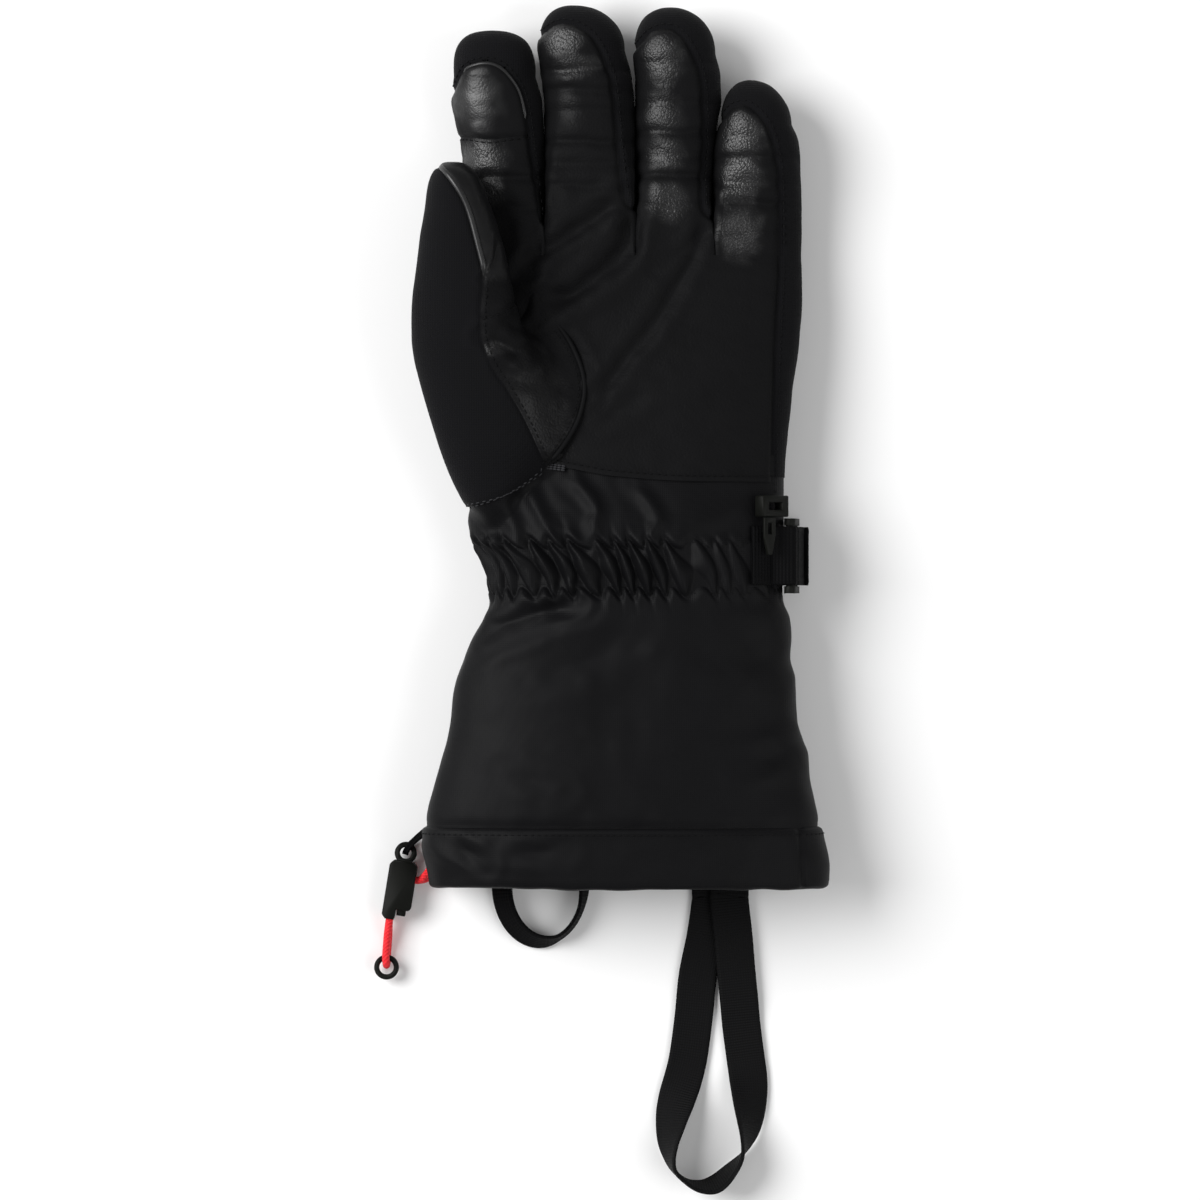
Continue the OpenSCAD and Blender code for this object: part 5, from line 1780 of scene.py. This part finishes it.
@dataclass
class Cuff(Assembly):
    """Wrist, elastic gather, gauntlet and hem, with their linings."""

    thumb: Thumb
    rows: Pair = (2.5, 21.3)
    folds: Sequence[Crease] = (
        Crease(((-20, 48), (-9, 35), (-9.5, 26), (-10.5, 10)), -1.6, 2.3, 0.2),
        Crease(((4, 44), (14, 31), (11, 23), (10, 10)), -1.3, 2.3, 0.2),
        Crease(((-36, 44), (-27, 27), (-20.5, 17), (-18, 8)), -1.6, 2.2, 0.2),
        Crease(((-62, 26), (-46, 21.5), (-34, 16), (-28, 9)), -1.4, 2.2, 0.2),
        Crease(((-46, 38), (-40, 28), (-37, 17)), -1.0, 2.2, 0.2),
        Crease(((-22, 29), (-16, 20.5), (-12, 12)), -1.2, 1.8, 0.2),
        Crease(((24, 19), (33, 23.5), (49, 28)), 0.8, 3.0, 0.3),
        Crease(((-52, -12), (-33, -5), (-16, -1)), 1.4, 2.2, 0.6),
        Crease(((-54, -18), (-36, -11), (-22, -5), (-12, -3)), 1.0, 3.0, 0.6),
        Crease(((-38, -29), (-24, -26), (-10, -21), (6, -8)), 0.9, 4.5, 0.5),
        Crease(((-44, -64), (-33, -67), (-22, -70)), 0.7, 3.0, 0.5),
        Crease(((46, -61), (58, -58), (68, -55)), 0.9, 3.0, 0.5),
        Crease(((-30, -48), (-8, -44), (14, -40)), 0.5, 7.0, 0.5),
        Crease(((20, -70), (36, -62), (50, -48)), 0.5, 6.0, 0.5),
        Crease(((24, -6), (30, -18), (34, -30)), 0.5, 5.0, 0.5),
        Crease(((44, -4), (50, -16), (58, -26)), 0.6, 4.0, 0.5))
    hem_folds: Sequence[Crease] = (
        Crease(((-65, -88), (-57, -94), (-50, -99)), 1.2, 2.4, 0.6),
        Crease(((-44, -92), (-34, -94), (-20, -93)), 0.8, 2.6, 0.5),
        Crease(((10, -91), (24, -95), (40, -94)), 0.4, 3.0, 0.5))
    hem_seam: Line = ((67, -84), (68.5, -109))
    hem_line: float = -87.4
    # The hem's section from its top round to its inside: y, and how far inside the glove's surface
    hem_top: Line = ((-84.6, 1.4), (-85, 0.2), (-85.6, -0.6), (-86.6, -0.9))
    hem_rows: Tuple[float, float, float] = (-87.6, -105.6, -1.0)
    hem_roll: Line = (
        (-106.6, -0.75), (-107.3, -0.3), (-107.8, 0.5), (-108, 1.4), (-107.8, 2.4), (-107.2, 3.2))
    hem_inside: Line = (
        (-106, 3.7), (-103, 3.7), (-100, 3.7), (-97, 3.7), (-94, 3.7), (-91, 3.7), (-88.5, 3.7), (-86.5, 3))
    # First and last y of the shell's rows, and the step between them, finest in the gather
    shell_rows: Sequence[Point] = ((-86.5, -14, 1.05), (-14, 30, 0.62), (30, 54.5, 0.9))
    bend: Bend = Bend("hand", "cuff", (0, 20, 24), (0, -3, 24))
    gather_top: float = 22.4
    gather_end: float = -4.2
    round_mm: float = 272.0
    pucker: float = 7.6
    pucker_high: float = 3.3
    pucker_sunk: float = 0.9
    line_swing: float = 1.6
    lining_in: float = 4.2
    cols: int = 400
    lining_cols: int = 150
    lining_step: float = 2.5
    gather_stitch: Stitch = Stitch(3.0, 1.8, 0.35)
    hem_stitch: Stitch = Stitch(2.5, 1.8)

    def build(self) -> None:
        """Builds the shell, the linings and the hem."""
        self.shell()
        self.linings()
        self.hem()

    def gather(self, p: Array, round_mm: Array) -> Array:
        """Height of the elastic's puckers: lenses between two pinched stitch lines.

        Args:
            p: points in mm.
            round_mm: each point's place round the wrist.

        Returns:
            How far each point moves outwards.
        """
        y = p[:, 1]
        palm = smooth((p[:, 2] - 16) / 8)
        side = mix(1.0, 0.25, smooth((p[:, 0] - 5) / 45)) * palm + 0.3 * (1 - palm)
        place = np.stack([round_mm, y * 0, y * 0], 1)
        turn = round_mm / self.pucker + 0.4 * noise(place, (13, 1, 1), 41) - 0.03 * (y - 12)
        turn += 0.06 * noise(p, (9, 9, 9), 42)
        u = turn - np.floor(turn) - 0.5
        size = 1 + 0.45 * noise(place, (8, 1, 1), 43)
        swing = np.cos(2 * np.pi * u)
        low, high = self.rows[0] - self.line_swing * swing, self.rows[1] + self.line_swing * swing
        arch = np.sin(np.pi * np.clip((y - low) / (high - low), 0, 1))
        lens = np.maximum(1 - np.abs(u / (0.04 + 0.46 * arch)) ** 1.6, 0)
        out = self.pucker_high * size * lens * arch**0.6 - self.pucker_sunk * arch**0.3
        away = np.maximum(np.maximum(low - y, y - high), -1.0)
        out += 1.2 * size * (0.5 - 0.5 * swing) * hump(away, 5.0) * smooth(away + 1.0)
        out -= 0.9 * (hump(y - low, 1.3) + hump(y - high, 1.3))
        return out * side

    def shell(self) -> None:
        """The nylon from under the palm's hem down to the hem's seam."""
        ys = np.concatenate([np.arange(*rows) for rows in self.shell_rows])
        skin = Skin.grid(self.trunk.rings(ys, self.cols, 0.5)[0])
        self.thumb.swell(skin, 0.9)
        move = self.gather(skin.co, np.tile(np.arange(self.cols) / self.cols * self.round_mm, len(ys)))
        for fold in self.folds:
            move += fold(skin)
        p = skin.co
        loose = smooth((4 - p[:, 1]) / 16)
        move += loose * (1.1 * noise(p, (34, 26, 34), 44) + 0.25 * noise(p, (15, 11, 15), 45))
        move += 0.16 * noise(p, (6, 6, 6), 46)
        near_seam = smooth((-74 - p[:, 1]) / 10)
        move += near_seam * 0.5 * noise(p, (8, 14, 8), 47)
        move -= 0.8 * hump(p[:, 1] + 85, 2.4)
        skin.push(move)
        skin.co[:, 2] = np.maximum(skin.co[:, 2], 0.15)
        wrist, rest, _ = skin.split(skin.co[:, 1] - self.gather_top)
        pucker, gauntlet, _ = rest.split(rest.co[:, 1] - self.gather_end)
        for name, part, body, nodes, bend in (
                ("wrist_cloth", wrist, "hand", ["wrist_panel"], None),
                ("wrist_puckers", pucker, "hand", ["wrist_gather", "wrist_elastic"], self.bend),
                ("gauntlet", gauntlet, "cuff", ["gauntlet_shell"], None)):
            self.bench.piece(name, part.walled(NYLON_WALL), Stuff.NYLON, body, nodes, bend)
        lines = []
        for at in self.rows:
            lines.append(shifted(evened(pucker.split(pucker.co[:, 1] - at)[2][0], 1.0), 0.0, -0.05))
        self.stitcher.sew("gather_stitches", lines, "hand", self.bend, self.gather_stitch)

    def linings(self) -> None:
        """Fleece inside the hand, wrist and cuff."""
        for name, low, high, body, bend in (
                ("hand", 50.5, 126.0, "hand", None), ("wrist", 21.0, 50.5, "hand", None),
                ("gather", -4.0, 21.0, "hand", self.bend), ("cuff", -103.0, -4.0, "cuff", None)):
            ys = np.linspace(low, high, max(8, int((high - low) / self.lining_step)))
            deep = self.lining_in + 1.2 * smooth((-84 - ys) / 8)
            points, _ = self.trunk.rings(ys, self.lining_cols, deep)
            skin = Skin.grid(points)
            skin.push(0.35 * noise(skin.co, (9, 9, 9), 51))
            for crease in PALM_CREASES:
                skin.push(np.minimum(crease(skin), 0))
            self.bench.piece(name + "_lining", skin.walled(FLEECE_WALL), Stuff.FLEECE, body,
                             [name + "_liner"], bend)

    def hem(self) -> None:
        """The folded hem, its seams and stitches."""
        face = [(y, self.hem_top[-1][1]) for y in np.arange(*self.hem_rows)]
        section = [*self.hem_top, *face, *self.hem_roll, *self.hem_inside]
        ys, insets = np.array(section, float).T
        points, _ = self.trunk.rings(ys, self.cols, insets)
        p = points.reshape(-1, 3)
        low = smooth((-90 - p[:, 1]) / 14)
        round_it = p * [1, 0, 1]
        wave = 0.9 * noise(round_it, (21, 1, 21), 61) + 0.4 * noise(round_it, (9, 1, 9), 62)
        p[:, 1] += wave * low
        skin = Skin.grid(points[::-1].copy(), True, True).outward()
        q = skin.co
        outside = smooth((self.trunk.level(*q.T) + 0.03) / 0.03)
        move = 0.8 * noise(q, (19, 12, 19), 63) + 0.35 * noise(q, (8, 7, 8), 64)
        for fold in self.hem_folds:
            move += fold(skin)
        move = move * outside * smooth((-85.5 - q[:, 1]) / 4) * smooth((q[:, 1] + 108) / 3)
        seam, _ = to_line(q[:, :2], np.array(self.hem_seam, float))
        move -= outside * 0.8 * hump(seam, 0.9) * (q[:, 2] > 20)
        skin.push(move)
        skin.co[:, 2] = np.maximum(skin.co[:, 2], 0.05)
        self.bench.piece("hem", skin, Stuff.NYLON, "cuff", ["hem_band", "hem_cord"])
        lines = []
        for run in skin.split(q[:, 1] - self.hem_line)[2]:
            if self.trunk.level(*run[:, :3].T).mean() > 0:
                lines.append(shifted(evened(run, 1.0), 0.0, 0.1))
        (top_x, top_y), (end_x, end_y) = self.hem_seam
        beside = q[:, 0] - mix(top_x, end_x, (top_y - q[:, 1]) / (top_y - end_y)) + 1.8
        down = [r for r in skin.split(beside)[2] if r[:, 5].mean() > 0.2]
        for run in down[:1]:
            run = evened(run[run[:, 5] > 0.25], 1.0)
            lines.append(run[(run[:, 1] < -87) & (run[:, 1] > -107)])
        self.stitcher.sew("hem_stitches", lines, "cuff", stitch=self.hem_stitch)


@dataclass
class Straps(Assembly):
    """Wrist strap with its buckle and clip, hang loop and leash."""

    strap_y: float = 16.5
    strap_w: float = 22.0
    strap_off: float = 1.6
    strap_angles: Tuple[float, float, int] = (200.0, 356.0, 110)
    strap_rows: int = 16
    wrist_middle: Pair = (6.0, 24.0)
    fine: int = 720
    bar: Pair = (63.5, 32.0)
    bar_turn: float = 2.4
    anchor_y: float = 20.5
    anchor_x: Pair = (49.0, 58.5)
    anchor_end: Pair = (59.6, 29.4)
    tail: Line = (
        (66.4, 21.8), (67.6, 16), (68.8, 10), (69.6, 5.4), (70.2, 4.6), (70.8, 5.6), (70.4, 9))
    loop_at: Point = (-29.0, -108.3, 4.9)
    loop_reach: Pair = (15.5, 20.8)
    loop_tilt: Profile = Profile((0, 33), (20, 42), (35, 60), (44, 79), (56, 80), (70, 66))
    loop_w: float = 9.0
    loop_rows: int = 70
    # The leash's middle line: x, y, how far it is tilted in degrees, and 1 where it lies on the other strand
    leash_run: Line = (
        (34.5, -107.6, 0, 0), (34.5, -111, 0, 0), (34.5, -114, 0, 0), (32.5, -127.5, 0, 0),
        (29.5, -142.5, 0, 0), (28, -157.5, 0, 0), (26, -172.5, 0, 0), (24, -181, 5, 0),
        (21.5, -189, 20, 0), (19.5, -197, 40, 0), (18.5, -206, 62, 0), (20, -214.5, 84, 0),
        (25, -219.5, 90, 0), (31, -221.5, 103, 0), (36.5, -220.3, 112, 0), (42, -215.3, 106, 0),
        (46.2, -209.8, 90, 0), (48.2, -203, 66, 0), (49, -196, 46, 0), (49, -187, 24, 0),
        (48.5, -180, 8, 0), (47.5, -172.5, 0, 0), (46, -161, 0, 0.2), (45, -150, 0, 0.8),
        (44, -140, 0, 1), (43, -127.5, 0, 1), (41.5, -114, 0, 1), (41.5, -111, 0, 1),
        (41.5, -107.6, 0, 1))
    leash_w: float = 14.5
    leash_t: float = 1.6
    leash_over: float = 2.0

    def build(self) -> None:
        """Builds every strap."""
        self.wrist()
        self.loop()
        self.leash()

    def flat_tape(self, xz: Array) -> Skin:
        """Wrist webbing with its width along the glove, over points across it.

        Args:
            xz: its middle line's x and z in mm.

        Returns:
            The tape's surface.
        """
        route = np.stack([xz[:, 0], np.full(len(xz), self.strap_y), xz[:, 1]], 1)
        along = np.tile([0.0, 1.0, 0.0], (len(route), 1))
        return swept(route, along, tape_outline(self.strap_w, WEBBING_WALL, self.strap_rows))

    def hugging(self) -> Skin:
        """The part of the wrist's strap that lies on the back of the wrist.

        Returns:
            The strap's surface.
        """
        ys = self.strap_y + np.linspace(-0.5, 0.5, self.strap_rows) * self.strap_w
        rings, _ = self.trunk.rings(ys, self.fine, -self.strap_off)
        mid_x, mid_z = self.wrist_middle
        angles = np.linspace(*self.strap_angles)
        rows = []
        for ring in rings:
            turn = np.degrees(np.arctan2(ring[:, 2] - mid_z, ring[:, 0] - mid_x)) % 360
            ring = ring[np.argsort(turn)]
            rows.append(np.stack([np.interp(angles, np.sort(turn), ring[:, k]) for k in range(3)], 1))
        points = np.array(rows)
        points[:, :, 2] = np.maximum(points[:, :, 2], 0.2)
        skin = Skin.grid(points, wrap=False)
        uv = np.stack([np.tile(lengths(points[len(ys) // 2]), len(ys)), np.repeat(ys, len(angles))], 1)
        if skin.nor[len(skin.co) // 2, 2] > 0:
            skin = Skin(skin.co, skin.tri[:, ::-1]).renormal()
        skin = skin.walled(WEBBING_WALL)
        skin.uv = np.vstack([uv, uv])
        return skin

    def wrist(self) -> None:
        """The strap round the back of the wrist, its anchor, tail, buckle and clip."""
        ring, _ = self.trunk.rings(np.array([self.anchor_y]), self.fine, -1.0)
        ring = ring[0][:, [0, 2]]
        near, far = self.anchor_x
        over = ring[(ring[:, 1] > 30) & (ring[:, 0] > near)][::-1]
        turn = np.radians(np.linspace(105, -170, 16))
        eye = np.array(self.bar) + self.bar_turn * np.stack([np.cos(turn), np.sin(turn)], 1)
        tab = over[over[:, 0] < far] + [0, 0.4]
        anchor = curve(np.vstack([tab[::6], eye[::3], [self.anchor_end]]), 5)
        tail = curve(self.tail, LINE_STEPS)
        for node, skin, body in (("wrist_strap", self.hugging(), "hand"),
                                 ("strap_anchor", self.flat_tape(anchor), "hand"),
                                 ("strap_tail", self.flat_tape(tail), "strap_pull")):
            self.bench.piece(node + "_webbing", skin, Stuff.WEBBING, body, [node])
        for node, body, edge in (("buckle_frame", "buckle", 0.45), ("pair_clip", "hand", 0.6),
                                 ("clip_gate", "clip_tongue", 0.3)):
            self.bench.moulded(node, Stuff.PLASTIC, body, edge)

    def loop(self) -> None:
        """The hang loop at the hem."""
        x, y, z = self.loop_at
        across, down = self.loop_reach
        a = np.radians(np.linspace(-4, 184, self.loop_rows))
        route = np.stack([x - across * np.cos(a), y - down * np.sin(a), np.full(len(a), z)], 1)
        tilt = np.radians(self.loop_tilt(np.arange(float(self.loop_rows))))
        self.tape("hang_loop", route, tilt, (self.loop_w, WEBBING_WALL), Stuff.WEBBING)

    def leash(self) -> None:
        """The leash, an elastic loop with one strand over the other at the hem."""
        rows = curve(self.leash_run)
        tilt = np.radians(rows[:, 2])
        standing = self.leash_w / 2 * np.sin(np.abs(tilt))
        high = 1.0 + np.maximum(rows[:, 3], 0) * self.leash_over + standing
        route = np.column_stack([rows[:, :2], high])
        self.tape("leash", route, tilt, (self.leash_w, self.leash_t), Stuff.ELASTIC)

    def tape(self, node: str, route: Array, tilt: Array, size: Pair, stuff: Stuff) -> None:
        """A tape along a route, tilted about its own run, on the body of its own name.

        Args:
            node: the solid that it stands for.
            route: its middle line in mm.
            tilt: 0 where it lies flat, a quarter turn where it stands on its edge.
            size: its width and thickness.
            stuff: what it is woven of.
        """
        run = unit(np.gradient(route, axis=0))
        across = unit(np.cross([0.0, 0.0, 1.0], run))
        rise = np.cross(run, across)
        wide = across * np.cos(tilt)[:, None] + rise * np.sin(tilt)[:, None]
        self.bench.piece(node + "_webbing", swept(route, wide, tape_outline(*size, 14)), stuff, node, [node])


@dataclass
class Drawcord:
    """The hem's red drawcord with its lock, tether and pull ring."""

    bench: Bench
    eye: Point = (-80.9, -95.6, 0.3)
    turn: float = math.radians(-99.2)
    cord: float = 2.8
    strand_y: float = -2.1
    strand_z: Pair = (6.1, 3.1)
    strand_x: Tuple[float, float, float] = (8.0, 18.0, 26.0)
    # Out from the lock, through the pull ring and back
    turn_back: Line = (
        (-87.8, -126.5, 7), (-88.2, -131.5, 7.7), (-88.4, -134.9, 7.75), (-88.3, -137.1, 6.85),
        (-88.2, -138.05, 4.6), (-88.1, -137.1, 2.35), (-88, -134.9, 1.5), (-87.8, -131.5, 1.7),
        (-87.4, -126.5, 2.2))
    feeds: Sequence[Line] = (
        ((-66.4, -98.3, 13.6), (-69.6, -98.8, 9.8), (-73, -103.4, 7.6), (-75.6, -105.8, 6.5),
         (-78.3, -105.7, 6.4)),
        ((-66.4, -101.3, 13.6), (-69.6, -101.8, 9.4), (-72.6, -105, 4.6), (-75.6, -106, 3.4),
         (-78.3, -105.7, 3.4)))
    tether_run: Line = (
        (-73.4, -87, 16), (-76.6, -89.8, 11.6), (-79.2, -92.6, 8.6), (-80.6, -94.6, 7.4), (-81.1, -95.9, 5),
        (-80.7, -94.8, 2.2), (-79.2, -92.4, 1.4), (-76.2, -89.8, 4), (-72.2, -87, 9.5))
    tether_size: Pair = (2.4, 0.7)

    def lock_point(self, x: float, y: float, z: float) -> Point:
        """A point in the lock's own frame as one in the glove's."""
        c, s = math.cos(self.turn), math.sin(self.turn)
        return (self.eye[0] + x * c - y * s, self.eye[1] + x * s + y * c, self.eye[2] + z)

    def build(self) -> None:
        """Builds the cord and what is on it."""
        high, low = self.strand_z
        out = [self.lock_point(x, self.strand_y, high) for x in self.strand_x]
        back = [self.lock_point(x, self.strand_y, low) for x in self.strand_x[::-1]]
        route = curve([*out, *self.turn_back, *back], LINE_STEPS)
        cord = self.bench.piece(
            "drawcord_loop", tube(route, self.cord), Stuff.CORD, "cord_pull", ["drawcord_pull"])
        ring = self.bench.moulded("cord_ring", Stuff.PLASTIC, "cord_pull", 0.8)
        one, two = (tube(curve(feed, LINE_STEPS), self.cord) for feed in self.feeds)
        self.bench.piece("drawcord_strands", one.joined(two), Stuff.CORD, "cuff", ["drawcord_feed"])
        self.bench.moulded("lock_body", Stuff.PLASTIC, "cuff", 0.7)
        self.bench.moulded("lock_slider", Stuff.PLASTIC, "lock_button", 0.25)
        spring = self.bench.moulded("lock_spring", Stuff.STEEL, "cuff", 0.05)
        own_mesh(spring)
        self.bench.moulded("hem_eyelet", Stuff.STEEL, "cuff", 0.25)
        self.tether()

    def tether(self) -> None:
        """The thin tape that ties the lock to the hem."""
        route = curve(self.tether_run, LINE_STEPS)
        wide = unit(np.cross([0.0, 0.0, 1.0], unit(np.gradient(route, axis=0))))
        skin = swept(route, wide, tape_outline(*self.tether_size, 8))
        self.bench.piece("tether", skin, Stuff.WEBBING, "cuff", ["tether_tape"])


@dataclass
class Studio:
    """Pale floor, soft lamps and the camera straight above."""

    view_mm: float = 450.0
    centre: Pair = (-7.5, 0.0)
    aim_z: float = 25.0
    lens: float = 200.0
    sensor: float = 36.0
    floor_half: float = 6.0
    floor_drop: float = 0.0003
    sky: float = 0.3
    # Each lamp's name, place and size in metres, and power in watts
    lamps: Sequence[Tuple[str, Point, float, float]] = (
        ("key", (-1.15, 0.4, 1.15), 1.2, 33.0), ("fill", (1.2, -0.4, 1.3), 1.4, 12.0))

    def build(self) -> None:
        """Sets the stage."""
        scene = bpy.context.scene
        scene.view_settings.view_transform = "Standard"
        self.camera(scene)
        self.floor()
        self.light(scene)

    def camera(self, scene: Scene) -> None:
        """A long lens that looks straight down, with the fingers to the top.

        Args:
            scene: the scene that is seen through it.
        """
        data = bpy.data.cameras.new("camera")
        data.lens = self.lens
        data.sensor_width = self.sensor
        data.clip_end = 20.0
        cam = placed("camera", data)
        away = self.view_mm * self.lens / self.sensor
        cam.location = (self.centre[0] * MM, self.centre[1] * MM, (away + self.aim_z) * MM)
        scene.camera = cam

    def floor(self) -> None:
        """A plain pale floor."""
        made = bpy.data.materials.new("studio_paper")
        tree = emptied(made)
        paper = add(tree, "ShaderNodeBsdfDiffuse", {"Color": srgb("#f6f6f6")})
        add(tree, "ShaderNodeOutputMaterial", {"Surface": paper})
        mesh = bpy.data.meshes.new("floor")
        h = self.floor_half
        mesh.from_pydata([(-h, -h, 0), (h, -h, 0), (h, h, 0), (-h, h, 0)], [], [(0, 1, 2, 3)])
        mesh.materials.append(made)
        floor = placed("floor", mesh)
        floor.location.z = -self.floor_drop

    def light(self, scene: Scene) -> None:
        """A large soft lamp on the left, a weak one on the right, and an even sky.

        Args:
            scene: the scene that gets the sky.
        """
        world = bpy.data.worlds.new("sky")
        tree = emptied(world)
        sky = add(tree, "ShaderNodeBackground", {"Color": srgb("#ffffff"), "Strength": self.sky})
        add(tree, "ShaderNodeOutputWorld", {"Surface": sky})
        scene.world = world
        for name, at, size, watts in self.lamps:
            data = bpy.data.lights.new(name, "AREA")
            data.shape = "DISK"
            data.size = size
            data.energy = watts
            lamp = placed(name, data)
            lamp.location = at
            lamp.rotation_mode = "QUATERNION"
            lamp.rotation_quaternion = (-Vector(at)).to_track_quat("-Z", "Y")


def main() -> None:
    """Builds the glove."""
    logging.basicConfig(level=logging.INFO, format="%(message)s")
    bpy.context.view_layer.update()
    Studio().build()
    bench = Bench({stuff: finish.make() for stuff, finish in FINISHES.items()})
    stitcher = Stitcher(bench, {thread: finish.make() for thread, finish in THREADS.items()})
    trunk = Trunk()
    Drawcord(bench).build()
    Straps(bench, stitcher, trunk).build()
    thumb = Thumb(bench, stitcher, trunk)
    Cuff(bench, stitcher, trunk, thumb).build()
    Hand(bench, stitcher, trunk).build()
    thumb.build()


if __name__ == "__main__":
    main()
